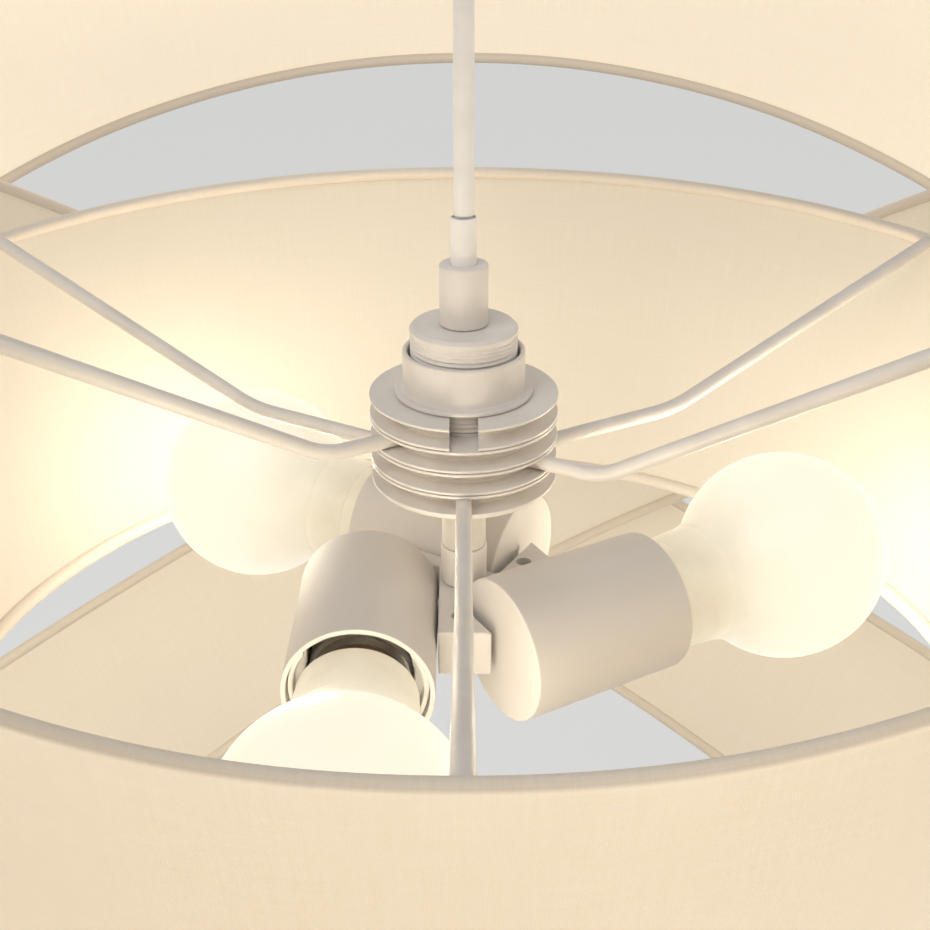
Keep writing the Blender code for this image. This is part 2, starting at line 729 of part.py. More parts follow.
def shades(turn, fabric, wire_finish):
    """Add the drum and the three tilted bands."""
    bands = (
        ("back_band", BACK, 0, BACK_BAND_RADIUS, BACK_BAND_WIDTH, BACK_BAND_SHIFT, BACK_BAND_DROP),
        ("left_band", LEFT_FRONT, 1, LEFT_BAND_RADIUS, LEFT_BAND_WIDTH, LEFT_BAND_SHIFT, LEFT_BAND_DROP),
        (
            "right_band",
            RIGHT_FRONT,
            2,
            RIGHT_BAND_RADIUS,
            RIGHT_BAND_WIDTH,
            RIGHT_BAND_SHIFT,
            RIGHT_BAND_DROP,
        ),
    )
    for name, azimuth, level, radius, width, shift, drop in bands:
        matrix = band_matrix(azimuth, shift, drop)
        spider = (level, (azimuth,), BAND_ARM_LEVEL)
        shade(name, turn, matrix, radius, radius, width, spider, fabric, wire_finish)
    drum = at_height(HUB_TOP + DRUM_RISE)
    spider = (len(bands), (FRONT, RIGHT_REAR, LEFT_REAR), DRUM_ARM_LEVEL)
    shade("drum", turn, drum, DRUM_TOP_RADIUS, DRUM_BOTTOM_RADIUS, DRUM_HEIGHT, spider, fabric, wire_finish)


def sideways(azimuth):
    """Return the level direction from an arm of the bracket to the holder beside it."""
    along = outward(azimuth)
    return Vector((along.y, -along.x, 0))


def bracket_outline():
    """Return the corners of the bracket in plan: each arm clears the next holder's closed end."""
    back = COVER_BACKSET + BRACKET_SIDE_CLEARANCE
    half = BRACKET_HALF_WIDTH
    # The end face of one arm meets the side that the next holder's back cuts off.
    turn_cos = math.cos(RIGHT_REAR)
    turn_sin = math.sin(RIGHT_REAR)
    far = (BRACKET_REACH + back * turn_cos) / turn_sin
    corners = []
    for azimuth in (RIGHT_REAR, FRONT, LEFT_REAR):
        along = outward(azimuth)
        side = sideways(azimuth)
        corners.append(along * BRACKET_REACH + side * half)
        corners.append(side * half - along * back)
        corners.append(side * far - along * back)
    return corners


def bracket_mesh():
    """Return the three-armed block with its bores."""
    shape = bmesh.new()
    base = [shape.verts.new(corner - Vector((0, 0, BRACKET_HEIGHT))) for corner in bracket_outline()]
    face = shape.faces.new(base)
    grown = bmesh.ops.extrude_face_region(shape, geom=[face])
    top = [item for item in grown["geom"] if isinstance(item, bmesh.types.BMVert)]
    bmesh.ops.translate(shape, vec=(0, 0, BRACKET_HEIGHT), verts=top)
    bmesh.ops.recalc_face_normals(shape, faces=shape.faces)
    bmesh.ops.bevel(shape, geom=shape.edges, offset=BRACKET_BEVEL, segments=1, affect="EDGES")
    block = mesh_of(shape)
    through = BRACKET_HEIGHT + 2 * OVERRUN
    block = cut(block, moved(rod_mesh(BRACKET_BORE_RADIUS, through), at_height(OVERRUN)))
    middle = Vector((0, 0, -BRACKET_HEIGHT / 2))
    for azimuth in (FRONT, RIGHT_REAR, LEFT_REAR):
        along = outward(azimuth)
        side = sideways(azimuth)
        place = along * BRACKET_HOLE_REACH + side * BRACKET_HOLE_SIDESTEP + Vector((0, 0, OVERRUN))
        upright = moved(rod_mesh(BRACKET_HOLE_RADIUS, through), Matrix.Translation(place))
        face_place = along * NIPPLE_REACH + side * (BRACKET_HALF_WIDTH + OVERRUN) + middle
        depth = OVERRUN + NIPPLE_HOLE_DEPTH
        level = moved(rod_mesh(NIPPLE_RADIUS + FIT, depth), axis_matrix(face_place, side))
        block = cut(block, upright, level)
    return block


def bracket(turn, material):
    """Three-armed bracket under the stem, and the plug that closes it from below."""
    piece("bracket", bracket_mesh(), material, at_height(BRACKET_TOP), turn)
    spigot = BRACKET_BORE_RADIUS - FIT
    profile = [
        (spigot, PLUG_SPIGOT_LENGTH),
        (spigot, 0),
        (PLUG_FLANGE_RADIUS, 0),
        (PLUG_FLANGE_RADIUS, -PLUG_FLANGE_HEIGHT),
    ]
    plug = turned_mesh(profile, TURNED_FACETS, closed=False)
    piece("bracket_plug", plug, material, at_height(BRACKET_BASE - FIT), turn)


def add_holder(name, azimuth, turn, finishes):
    """Add one lampholder on the side of the bracket's arm, and its bulb."""
    along = outward(azimuth)
    side = sideways(azimuth)
    place = side * HOLDER_OFFSET + Vector((0, 0, HOLDER_HEIGHT))
    matrix = axis_matrix(place, along)
    holder = empty("holder_" + name, matrix, turn)
    inner = COVER_RADIUS - COVER_WALL
    back = -COVER_BACKSET
    mouth = back + COVER_LENGTH
    corner_centre = (COVER_RADIUS - COVER_CORNER, back + COVER_CORNER)
    corner = arc_points(corner_centre, COVER_CORNER, 0, -90, CORNER_STEPS)
    profile = [(inner, back + COVER_WALL), (inner, mouth), (COVER_RADIUS, mouth)] + corner
    cover = turned_mesh(profile, TURNED_FACETS, closed=False)
    nipple_way = rod_mesh(NIPPLE_RADIUS + FIT, COVER_WALL + 2 * OVERRUN)
    local = matrix.inverted()
    wall_place = side * (HOLDER_OFFSET - inner + OVERRUN) + along * NIPPLE_REACH
    wall_place.z = HOLDER_HEIGHT
    cover = cut(cover, moved(nipple_way, local @ axis_matrix(wall_place, side)))
    piece("cover_" + name, cover, finishes["plastic"], matrix, holder)
    body = INSERT_NECK_LENGTH
    insert = [
        (SOCKET_RADIUS, INSERT_FLOOR),
        (SOCKET_RADIUS, INSERT_LENGTH),
        (inner - FIT, INSERT_LENGTH),
        (inner - FIT, body),
        (INSERT_NECK_RADIUS, body),
        (INSERT_NECK_RADIUS, back + COVER_WALL + FIT),
    ]
    socket = turned_mesh(insert, TURNED_FACETS, closed=False)
    piece("socket_" + name, socket, finishes["ceramic"], matrix, holder)
    half = CONTACT_WIDTH / 2
    contact = box_mesh((-half, -half / 2, INSERT_FLOOR + FIT), (half, half / 2, BULB_TIP_REACH - FIT))
    piece("contact_" + name, contact, finishes["brass"], matrix, holder)
    start = BRACKET_HALF_WIDTH - NIPPLE_BRACKET_DEPTH
    end = HOLDER_OFFSET - inner + NIPPLE_COVER_DEPTH
    nipple_place = side * end + along * NIPPLE_REACH + Vector((0, 0, HOLDER_HEIGHT))
    nipple = turned_mesh(tube_profile(NIPPLE_RADIUS, NIPPLE_BORE_RADIUS, end - start), SMALL_FACETS)
    piece("nipple_" + name, nipple, finishes["steel"], axis_matrix(nipple_place, side), holder)
    add_lead(name, azimuth, holder, finishes["lead"])
    add_bulb(name, matrix, holder, finishes)


def add_lead(name, azimuth, holder, material):
    """Add the lead that runs from the stem's cable through the nipple to the socket's back."""
    along = outward(azimuth)
    side = sideways(azimuth)
    in_stem = STEM_BORE_RADIUS - LEAD_RADIUS - 2 * FIT
    hole_end = BRACKET_HALF_WIDTH - NIPPLE_HOLE_DEPTH + LEAD_RADIUS + FIT
    bend = 2 * LEAD_RADIUS
    route = (
        (0, in_stem, STEM_BASE - FIT),
        (0, in_stem, BRACKET_TOP - bend),
        (0, in_stem, HOLDER_HEIGHT + bend),
        (bend, in_stem, HOLDER_HEIGHT + LEAD_RADIUS / 2),
        (NIPPLE_REACH, hole_end, HOLDER_HEIGHT),
        (NIPPLE_REACH, HOLDER_OFFSET - INSERT_NECK_RADIUS - FIT, HOLDER_HEIGHT),
    )
    points = [along * ahead + side * across + Vector((0, 0, height)) for ahead, across, height in route]
    lead = wire_mesh(points, LEAD_RADIUS)
    piece("lead_" + name, lead, material, Matrix.Identity(4), holder)


def add_bulb(name, matrix, holder, finishes):
    """Add a bulb: contact tip, threaded cap and globe, all turned about the holder's axis."""
    bulb = empty("bulb_" + name, matrix, holder)
    tip = [
        (BULB_TIP_RADIUS, BULB_TIP_REACH + BULB_TIP_LENGTH),
        (BULB_TIP_RADIUS / 2, BULB_TIP_REACH),
    ]
    piece("bulb_tip_" + name, turned_mesh(tip, SMALL_FACETS, closed=False), finishes["brass"], matrix, bulb)
    cap_start = BULB_TIP_REACH + BULB_TIP_LENGTH + FIT
    cap_end = cap_start + BULB_CAP_LENGTH
    threads_top = cap_end - BULB_THREAD_PITCH / 2
    cap = [(BULB_CAP_RADIUS, cap_end)]
    cap += thread_profile(
        BULB_CAP_RADIUS, BULB_THREAD_DEPTH, BULB_THREAD_PITCH, BULB_THREADS, threads_top
    )
    cap += [(BULB_CAP_RADIUS / 2, cap_start)]
    piece("bulb_cap_" + name, turned_mesh(cap, SMALL_FACETS, closed=False), finishes["steel"], matrix, bulb)
    piece("bulb_globe_" + name, globe_mesh(cap_end + FIT), finishes["opal"], matrix, bulb)


def globe_mesh(start):
    """Return the globe: a collar on the cap, a neck that flares and a round end."""
    collar_end = start + BULB_COLLAR_LENGTH
    # The neck leaves the collar and runs into the sphere along its slope.
    profile = arc_points((0, BULB_CENTRE_REACH), BULB_RADIUS, 90, BULB_JOIN_ANGLE, GLOBE_STEPS)
    profile[0] = (0, BULB_CENTRE_REACH + BULB_RADIUS)
    join = profile[-1]
    neck_height = collar_end + (join[1] - collar_end) * BULB_NECK_SHARE
    neck_radius = BULB_COLLAR_RADIUS + (join[0] - BULB_COLLAR_RADIUS) * BULB_NECK_SHARE / 2
    profile += [(neck_radius, neck_height), (BULB_COLLAR_RADIUS, collar_end)]
    profile += [(BULB_CAP_RADIUS, start)]
    return turned_mesh(profile, TURNED_FACETS, closed=False)


def main():
    """Build the whole light."""
    clear_scene()
    white_metal = finish("cream_painted_metal", (0.86, 0.83, 0.76), 0.45)
    fabric = finish("cream_fabric", (0.92, 0.85, 0.74), 0.85)
    finishes = {
        "plastic": finish("cream_plastic", (0.88, 0.85, 0.79), 0.4),
        "ceramic": finish("white_ceramic", (0.9, 0.89, 0.86), 0.3),
        "brass": finish("brass", (0.72, 0.56, 0.28), 0.35, 1.0),
        "steel": finish("plated_steel", (0.72, 0.72, 0.7), 0.3, 1.0),
        "opal": finish("opal_plastic", (0.98, 0.93, 0.82), 0.25),
        "lead": finish("lead_plastic", (0.55, 0.35, 0.2), 0.5),
    }
    cord_finish = finish("cord_plastic", (0.87, 0.85, 0.8), 0.5)
    ceiling_plate(finishes["steel"])
    cord_clamp(finishes["plastic"], finishes["steel"])
    terminal_block(finishes["plastic"])
    supply_cord(cord_finish)
    canopy(white_metal, finishes["plastic"], finishes["steel"])
    swing = empty("pendant_swing", at_height(SLEEVE_TOP))
    hanger(swing, finishes["plastic"], white_metal, finishes["steel"], cord_finish)
    turn = empty("pendant_turn", at_height(SLEEVE_TOP), swing)
    cap_and_cup(turn, white_metal)
    hub_core(turn, white_metal, finishes["steel"])
    stem(turn, white_metal, cord_finish)
    shades(turn, fabric, white_metal)
    bracket(turn, finishes["plastic"])
    for name, azimuth in (("front", FRONT), ("right", RIGHT_REAR), ("left", LEFT_REAR)):
        add_holder(name, azimuth, turn, finishes)


main()
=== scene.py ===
"""Looks of the fabric pendant light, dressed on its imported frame."""

import json
import math

import bmesh
import bpy
import numpy as np
from mathutils import Matrix, Vector

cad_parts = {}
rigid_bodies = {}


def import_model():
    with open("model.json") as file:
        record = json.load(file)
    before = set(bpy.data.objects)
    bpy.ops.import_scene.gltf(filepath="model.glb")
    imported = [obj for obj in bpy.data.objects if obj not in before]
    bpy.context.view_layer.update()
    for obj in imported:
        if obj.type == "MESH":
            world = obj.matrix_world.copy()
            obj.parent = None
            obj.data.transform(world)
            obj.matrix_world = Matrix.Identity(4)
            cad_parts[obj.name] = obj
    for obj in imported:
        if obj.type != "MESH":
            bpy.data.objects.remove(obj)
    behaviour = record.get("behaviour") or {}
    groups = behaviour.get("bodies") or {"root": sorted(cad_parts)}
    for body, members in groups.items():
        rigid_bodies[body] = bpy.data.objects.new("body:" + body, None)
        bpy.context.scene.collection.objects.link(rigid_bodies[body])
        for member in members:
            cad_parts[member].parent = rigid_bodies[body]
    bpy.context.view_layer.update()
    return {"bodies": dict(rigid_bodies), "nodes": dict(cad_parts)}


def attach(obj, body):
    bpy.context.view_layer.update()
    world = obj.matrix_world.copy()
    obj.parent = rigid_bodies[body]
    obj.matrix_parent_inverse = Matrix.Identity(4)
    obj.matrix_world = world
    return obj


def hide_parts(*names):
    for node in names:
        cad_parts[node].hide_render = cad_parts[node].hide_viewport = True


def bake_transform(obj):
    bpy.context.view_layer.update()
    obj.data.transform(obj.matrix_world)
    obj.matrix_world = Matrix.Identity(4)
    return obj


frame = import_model()

# Sizes in metres, as the frame has them
FIT = 0.0003
WIRE_RADIUS = 0.002
FRAME_WALL = 0.0012
CORD_RADIUS = 0.00243
CORD_WAY = CORD_RADIUS + FIT
CORD_TOP = -0.0021
CORD_END = -0.1478
SLEEVE_TOP = -0.1483
SLEEVE_LENGTH = 0.0176
SLEEVE_RADIUS = 0.00323
GRIP_TOP = -0.1599
GRIP_SEAT = 0.0063
GRIP_SHOULDER = 0.0153
GRIP_LENGTH = 0.0213
GRIP_RADIUS = 0.00605
GRIP_NECK_RADIUS = 0.0047
GRIP_BORE = 0.00328
CAP_TOP = -0.1755
CAP_LENGTH = 0.0152
CAP_RADIUS = 0.0136
CAP_HOLE = 0.005
CUP_RIM = -0.182
CUP_DEPTH = 0.0112
CUP_FLOOR = 0.0096
CUP_LIP = 0.0102
CUP_RADIUS = 0.0155
CUP_BORE = 0.0142
CUP_LIP_RADIUS = 0.0176
HUB_TOP = -0.1935
HUB_PITCH = 0.006
SPOOL_HEIGHT = HUB_PITCH - FIT
HUB_RADIUS = 0.0241
HUB_TUBE_RADIUS = 0.0145
TUBE_END_RADIUS = 0.0139
TUBE_WAY = 0.0117
TUBE_BORE = 0.0062
TUBE_FLOOR = 0.004
SPACER_RADIUS = 0.0185
WASHER_THICKNESS = 0.00075
NOTCH_WIDTH = 0.007
COLLAR_TOP = HUB_TOP - 4 * HUB_PITCH
COLLAR_HEIGHT = 0.001
COLLAR_BASE = COLLAR_TOP - COLLAR_HEIGHT
COLLAR_RADIUS = 0.023
COLLAR_BORE = 0.0148
STEM_RADIUS = 0.0059
STEM_WAY = 0.0043
STEM_LENGTH = 0.028
STEM_IN_HUB = 0.0085
STEM_BASE = -0.238
COUPLER_TOP = STEM_BASE - FIT
COUPLER_LENGTH = 0.0111
COUPLER_RADIUS = 0.0062
BRACKET_TOP = -0.2497
BRACKET_HEIGHT = 0.0132
HOLDER_HEIGHT = BRACKET_TOP - BRACKET_HEIGHT / 2
HOLDER_OFFSET = 0.0262
COVER_RADIUS = 0.0192
COVER_WALL = 0.0013
COVER_BACK = -0.0044
COVER_MOUTH = 0.0437
SOCKET_BORE = 0.0137
SOCKET_FLOOR = 0.011
SOCKET_SHOULDER = 0.036
SOCKET_STEP = 0.014
SOCKET_FOOT_RADIUS = 0.012
SKIRT_END = 0.0414
SKIRT_WALL = 0.0013
SKIRT_GAP_LENGTH = 0.06
SKIRT_GAP_WIDTH = 0.0262
SKIRT_GAP_FLOOR = 0.022
SKIRT_GAP_END = 0.054
BULB_CAP_START = 0.0166
BULB_CAP_END = 0.0408
BULB_CAP_RADIUS = 0.0132
BULB_THREAD_START = 0.0212
BULB_THREAD_END = 0.0384
BULB_THREAD_DEPTH = 0.0009
BULB_THREAD_PITCH = 0.00363
BULB_COLLAR_RADIUS = 0.0154
BULB_COLLAR_START = 0.0457
BULB_COLLAR_END = 0.0495
BULB_NECK_END = 0.061
BULB_CORE_RADIUS = 0.0146
BULB_FOOT_RADIUS = 0.013
BULB_NECK_RADIUS = 0.0165
BULB_CENTRE = 0.0919
BULB_RADIUS = 0.03
BULB_LAMP_RADIUS = BULB_RADIUS - 0.002
BRACKET_HALF_WIDTH = 0.0067
BRACKET_REACH = 0.0267
BRACKET_BACK = 0.007
BRACKET_EDGE = 0.0007
STEM_BORE = 0.0055
ARM_BORE = 0.00215
LEVEL_BORE = 0.0029
LEVEL_BORE_DEPTH = 0.007
BORE_OVERRUN = 0.002
PLUG_RADIUS = 0.0082
PLUG_NECK_RADIUS = 0.0052
PLUG_NECK_TOP = 0.004
PLUG_DEPTH = 0.0022
CANOPY_RADIUS = 0.05
CANOPY_DEPTH = 0.045
CANOPY_WALL = 0.0012
CANOPY_HOLE = 0.008
BUSH_NECK_RADIUS = 0.0077
BUSH_NECK_TOP = 0.006
BUSH_RADIUS = 0.0092
BUSH_DEPTH = 0.009
THREAD_PITCH = 0.0012
THREAD_DEPTH = 0.0005

# Shades; azimuths are in degrees from the front
THREE_WAYS = (0, 120, 240)
BAND_TILT = math.radians(31.5)
BAND_LEVEL_REACH = 0.039
DRUM_LEVEL_REACH = 0.069
RIM_INSET = FRAME_WALL + FIT + 2 * WIRE_RADIUS
BAND_CLEARANCE = 0.0008
RIGHT_RADIUS = 0.237
RIGHT_HEIGHT = 0.086
LEFT_HEIGHT = 0.092
BACK_HEIGHT = 0.1
LEFT_RADIUS = math.hypot(RIGHT_RADIUS, RIGHT_HEIGHT) + RIM_INSET + BAND_CLEARANCE
BACK_RADIUS = math.hypot(LEFT_RADIUS, LEFT_HEIGHT) + RIM_INSET + BAND_CLEARANCE
DRUM_TOP_RADIUS = 0.168
DRUM_BOTTOM_RADIUS = 0.147
DRUM_HEIGHT = 0.111
DRUM_RISE = 0.0155
DRUM_INNER_GLOW = 0.38
ARM_BEND = 0.006
ARM_ROOT = HUB_TUBE_RADIUS + 0.0017

# Cloth of the shades
CLOTH_THICKNESS = 0.00045
CLOTH_INSET = 0.0003
CLOTH_CLEARANCE = 0.00005
HEM_WIRE = 0.0013
HEM_DROP = 0.0018
HEM_IN = CLOTH_INSET + CLOTH_THICKNESS + CLOTH_CLEARANCE + HEM_WIRE
THREAD_WIDTH = 0.00042
SEAM_WIDTH = 0.011
SEAM_STEP = 0.0004
SEAM_MARGIN = 0.0015
CLOTH_GLOW = 0.59
OUTER_GLOW = 0.6
INNER_SIDE = 8
HEM_STEPS = 18
HEM_POINTS = HEM_STEPS + 3
HEM_TURN = math.radians(250)

# Camera; the tilted band that passes close under the lens is nearer than NEAREST_SEEN and isn't in view
CAMERA_PLACE = (0.0003, -0.3018, -0.0606)
CAMERA_AIM = (0.0003, 0, -0.215)
NEAREST_SEEN = 0.15

# Lights, in watts and in the strength of plain white
BULB_POWER = 0.21
KEY_POWER = 19
SIDE_POWER = 8
STUDIO_LAMP_SIZE = 1.6
FILL_STRENGTH = 0.33
PALE = (0.93, 0.93, 0.92, 1)
FLOOR_GLOW = 0.55
FLOOR_RADIUS = 4
FLOOR_THICKNESS = 0.02
FLOOR_LEVEL = -0.8
FLOOR_SEGMENTS = 64

# Facets
ROUND_SEGMENTS = 96
RING_SEGMENTS = 360
WALL_POINTS = 12
WIRE_SIDES = 20
ARM_BEND_STEPS = 10
CORD_SIDES = 32
CORD_ROWS = 60
SPOOL_SEGMENTS = 144
NOTCHED_STEPS = 140
SMOOTH_SEGMENTS = 128
BORE_SEGMENTS = 48
GLOBE_NECK_STEPS = 16
GLOBE_END_STEPS = 32
SHARP_ANGLE = 35


class Number:
    """One value of a material, which takes Python's own arithmetic."""

    def __init__(self, finish, socket):
        self.finish = finish
        self.socket = socket

    def maths(self, operation, *values):
        """Add a Math node and return its result."""
        return self.finish.node("ShaderNodeMath", {"operation": operation}, values)

    def __add__(self, other):
        return self.maths("ADD", self, other)

    def __sub__(self, other):
        return self.maths("SUBTRACT", self, other)

    def __rsub__(self, other):
        return self.maths("SUBTRACT", other, self)

    def __mul__(self, other):
        return self.maths("MULTIPLY", self, other)

    def __truediv__(self, other):
        return self.maths("DIVIDE", self, other)

    def __abs__(self):
        return self.maths("ABSOLUTE", self)

    __radd__ = __add__
    __rmul__ = __mul__

    def sine(self):
        return self.maths("SINE", self)

    def smaller(self, other):
        return self.maths("MINIMUM", self, other)

    def larger(self, other):
        return self.maths("MAXIMUM", self, other)

    def between(self, low, high):
        """Run from 0 at low to 1 at high, smoothly."""
        settings = {"interpolation_type": "SMOOTHSTEP"}
        values = {"Value": self, "From Min": low, "From Max": high}
        return self.finish.node("ShaderNodeMapRange", settings, values)


class Finish:
    """One material and the shader that its nodes feed."""

    def __init__(self, name, colour, roughness, **plain):
        self.material = bpy.data.materials.new(name)
        self.material.use_nodes = True
        self.tree = self.material.node_tree
        self.shader = self.tree.nodes["Principled BSDF"]
        self.use(Base_Color=(*colour, 1), Roughness=roughness, **plain)
        self.material.diffuse_color = (*colour, 1)

    def feed(self, socket, value):
        """Link a node's result to a socket, or set the socket to a plain value."""
        if isinstance(value, Number):
            self.tree.links.new(value.socket, socket)
        else:
            socket.default_value = value

    def node(self, kind, settings=None, values=(), output=0):
        """Add a node: its settings first, then the values or links of its sockets."""
        made = self.tree.nodes.new(kind)
        for setting, value in (settings or {}).items():
            setattr(made, setting, value)
        pairs = values.items() if isinstance(values, dict) else enumerate(values)
        for key, value in pairs:
            self.feed(made.inputs[key], value)
        return Number(self, made.outputs[output])

    def place(self):
        """Return the point on the piece, in metres."""
        return self.node("ShaderNodeTexCoord", output="Object")

    def part(self, place, axis):
        """Return one coordinate of a point."""
        return self.node("ShaderNodeSeparateXYZ", None, (place,), output=axis)

    def stretched(self, place, scale):
        """Return a point scaled along each axis."""
        return self.node("ShaderNodeVectorMath", {"operation": "MULTIPLY"}, (place, scale))

    def noise(self, place, scale, detail=2, roughness=0.5):
        values = {"Vector": place, "Scale": scale, "Detail": detail, "Roughness": roughness}
        return self.node("ShaderNodeTexNoise", {"noise_dimensions": "3D"}, values)

    def mixed(self, share, first, second):
        """Return a colour between two, by a share."""
        settings = {"data_type": "RGBA"}
        values = {0: share, 6: self.colour(first), 7: self.colour(second)}
        return self.node("ShaderNodeMix", settings, values, output=2)

    def colour(self, value):
        return value if isinstance(value, Number) else (*value, 1)

    def use(self, **surface):
        """Set or link the shader's sockets by their names."""
        for socket, value in surface.items():
            self.feed(self.shader.inputs[socket.replace("_", " ")], value)

    def bump(self, height, strength, distance):
        values = {"Strength": strength, "Distance": distance, "Height": height}
        self.use(Normal=self.node("ShaderNodeBump", None, values))


def cloth_finish(name, length, roll, inner_glow):
    """Cream cloth in a plain weave, glued on a liner, with a painted glow for the light that comes through
    from inside.
    """
    cloth = Finish(name, (0.84, 0.76, 0.65), 0.82, Sheen_Weight=0.15, Sheen_Roughness=0.4)
    cloth.use(Emission_Strength=CLOTH_GLOW)
    thread = cloth.node("ShaderNodeUVMap", {"uv_map": "thread"})
    around = cloth.part(thread, "X")
    along = cloth.part(thread, "Y")
    turn = math.pi / THREAD_WIDTH
    warp = abs((around * turn).sine())
    weft = abs((along * turn).sine())
    over = (around * turn / 2).sine() * (along * turn / 2).sine()
    crossing = over.between(-0.2, 0.2)
    weave = warp * crossing + weft * (1 - crossing)
    level_slub = cloth.noise(cloth.stretched(thread, (45, 1500, 1)), 1, 3, 0.6)
    upright_slub = cloth.noise(cloth.stretched(thread, (1500, 45, 1)), 1, 3, 0.6)
    slub = (level_slub + upright_slub) / 2
    cloud = cloth.noise(thread, 38, 4, 0.55)
    # No light comes through where the cloth goes round a ring; its tucked edge is painted darker, a painted
    # shadow along the tuck.
    from_edge = along.smaller(length - along)
    rolled = 1 - from_edge.between(roll - 0.0014, roll - 0.0005)
    tuck_shadow = 1 - from_edge.between(0.0005, 0.0016)
    body = cloth.mixed(slub.between(0.36, 0.64), (0.82, 0.735, 0.62), (0.86, 0.78, 0.67))
    body = cloth.mixed(cloud.between(0.3, 0.7) * 0.3, body, (0.81, 0.72, 0.6))
    body = cloth.mixed((1 - weave) * 0.14, body, (0.66, 0.56, 0.44))
    body = cloth.mixed(tuck_shadow * 0.35, body, (0.6, 0.5, 0.4))
    # The inner face is painted darker than the outer one: painted shade that evens out the lamps' strong
    # light on it.
    inside = around.between(INNER_SIDE / 2, INNER_SIDE)
    body = cloth.mixed(inside * (1 - rolled) * 0.58, body, (0.28, 0.26, 0.23))
    # The side of the roll that faces in is painted darker, as painted shade on the roll.
    shaded_roll_side = 1 - from_edge.between(roll * 0.45, roll * 0.75)
    body = cloth.mixed(shaded_roll_side * 0.3, body, (0.34, 0.32, 0.31))
    # The cloth's glow is painted light, standing in for the bulbs' light coming through it; each side and
    # shade has its own level, and the rolls don't glow.
    lit = cloth.mixed(slub.between(0.3, 0.7), (0.96, 0.83, 0.63), (1.0, 0.88, 0.69))
    lit = cloth.mixed(1 - OUTER_GLOW + inside * (OUTER_GLOW - inner_glow), lit, (0, 0, 0))
    lit = cloth.mixed(rolled, lit, (0.05, 0.045, 0.04))
    cloth.use(Base_Color=body, Emission_Color=lit)
    cloth.use(Roughness=0.78 + slub * 0.12)
    cloth.bump(weave * 0.7 + slub * 0.5, 0.35, 0.00012)
    # Only bounced rays gather the cloth's light, which leaves the direct samples to the lamps.
    cloth.material.cycles.emission_sampling = "NONE"
    return cloth.material


def painted_metal():
    """Cream powder coat on steel: fine orange peel, and a few darker specks."""
    paint = Finish("cream_painted_metal", (0.73, 0.695, 0.66), 0.42, Coat_Roughness=0.25)
    place = paint.place()
    peel = paint.noise(place, 1500, 2, 0.5)
    cloud = paint.noise(place, 60, 4, 0.6)
    speck = paint.noise(place, 5200, 1, 0.4)
    body = paint.mixed(cloud.between(0.35, 0.65), (0.7, 0.665, 0.63), (0.76, 0.725, 0.69))
    body = paint.mixed(speck.between(0.66, 0.74) * 0.25, body, (0.58, 0.53, 0.47))
    paint.use(Base_Color=body, Roughness=0.36 + cloud * 0.16, Coat_Weight=0.1 + cloud * 0.1)
    paint.bump(peel + speck * 0.15, 0.12, 0.0001)
    return paint.material


def moulded_plastic(name, light, dark, roughness):
    """Moulded plastic with a fine spark-eroded grain and faint flow marks."""
    plastic = Finish(name, light, roughness, Specular_IOR_Level=0.35)
    place = plastic.place()
    grain = plastic.noise(place, 3400, 2, 0.55)
    flow = plastic.noise(plastic.stretched(place, (50, 50, 16)), 1, 3, 0.5)
    body = plastic.mixed(flow.between(0.3, 0.7), dark, light)
    plastic.use(Base_Color=body, Roughness=roughness - 0.05 + grain * 0.1)
    plastic.bump(grain, 0.1, 0.00008)
    return plastic.material


def glazed_ceramic():
    """White glazed ceramic with pale clouds and pin holes."""
    glaze = Finish("white_ceramic", (0.86, 0.84, 0.79), 0.25, Coat_Roughness=0.1)
    place = glaze.place()
    cloud = glaze.noise(place, 90, 3, 0.5)
    pits = glaze.noise(place, 1900, 1, 0.3)
    body = glaze.mixed(cloud.between(0.3, 0.7), (0.82, 0.79, 0.73), (0.88, 0.86, 0.82))
    depth = glaze.part(place, "Z")
    # Deep inside the holder the glaze is painted dark brown, as painted shade.
    body = glaze.mixed(depth.between(0.03, 0.0345), (0.22, 0.15, 0.07), body)
    glaze.use(Base_Color=body, Roughness=0.2 + cloud * 0.14, Coat_Weight=0.3 + cloud * 0.2)
    glaze.bump(pits.between(0.2, 0.4), 0.1, 0.0001)
    return glaze.material


def bare_metal(name, light, dark, roughness):
    """Bare or plated metal with turning marks and a little tarnish."""
    metal = Finish(name, light, roughness, Metallic=1.0)
    place = metal.place()
    marks = metal.noise(metal.stretched(place, (300, 300, 9000)), 1, 2, 0.5)
    tarnish = metal.noise(place, 220, 4, 0.6)
    body = metal.mixed(tarnish.between(0.4, 0.75), light, dark)
    metal.use(Base_Color=body, Roughness=roughness + tarnish * 0.15 + marks * 0.08)
    metal.bump(marks, 0.08, 0.00005)
    return metal.material


def lit_opal():
    """Opal globe that glows from inside: brightest at its round end, warmer at its neck."""
    opal = Finish("lit_opal", (0.35, 0.33, 0.27), 0.32, Specular_IOR_Level=0.4)
    opal.use(Emission_Strength=0.76)
    place = opal.place()
    depth = opal.part(place, "Z")
    cloud = opal.noise(place, 70, 3, 0.5)
    frost = opal.noise(place, 2600, 2, 0.5)
    inner = (depth + cloud * 0.004).between(0.046, 0.088)
    glow = opal.mixed(inner, (0.56, 0.47, 0.34), (1.0, 0.94, 0.78))
    glow = opal.mixed(cloud.between(0.3, 0.7) * 0.2, glow, (1.0, 0.9, 0.7))
    # Under its collar the neck doesn't glow, and its dark brown is painted shade for the deep gap inside
    # the holder's mouth.
    neck = depth.between(0.0449, 0.0455)
    opal.use(Emission_Color=opal.mixed(neck, (0.01, 0.007, 0.004), glow), Roughness=0.26 + frost * 0.16)
    body = opal.mixed(cloud, (0.33, 0.31, 0.25), (0.37, 0.35, 0.29))
    opal.use(Base_Color=opal.mixed(neck, (0.14, 0.08, 0.03), body))
    opal.bump(frost, 0.06, 0.00006)
    return opal.material


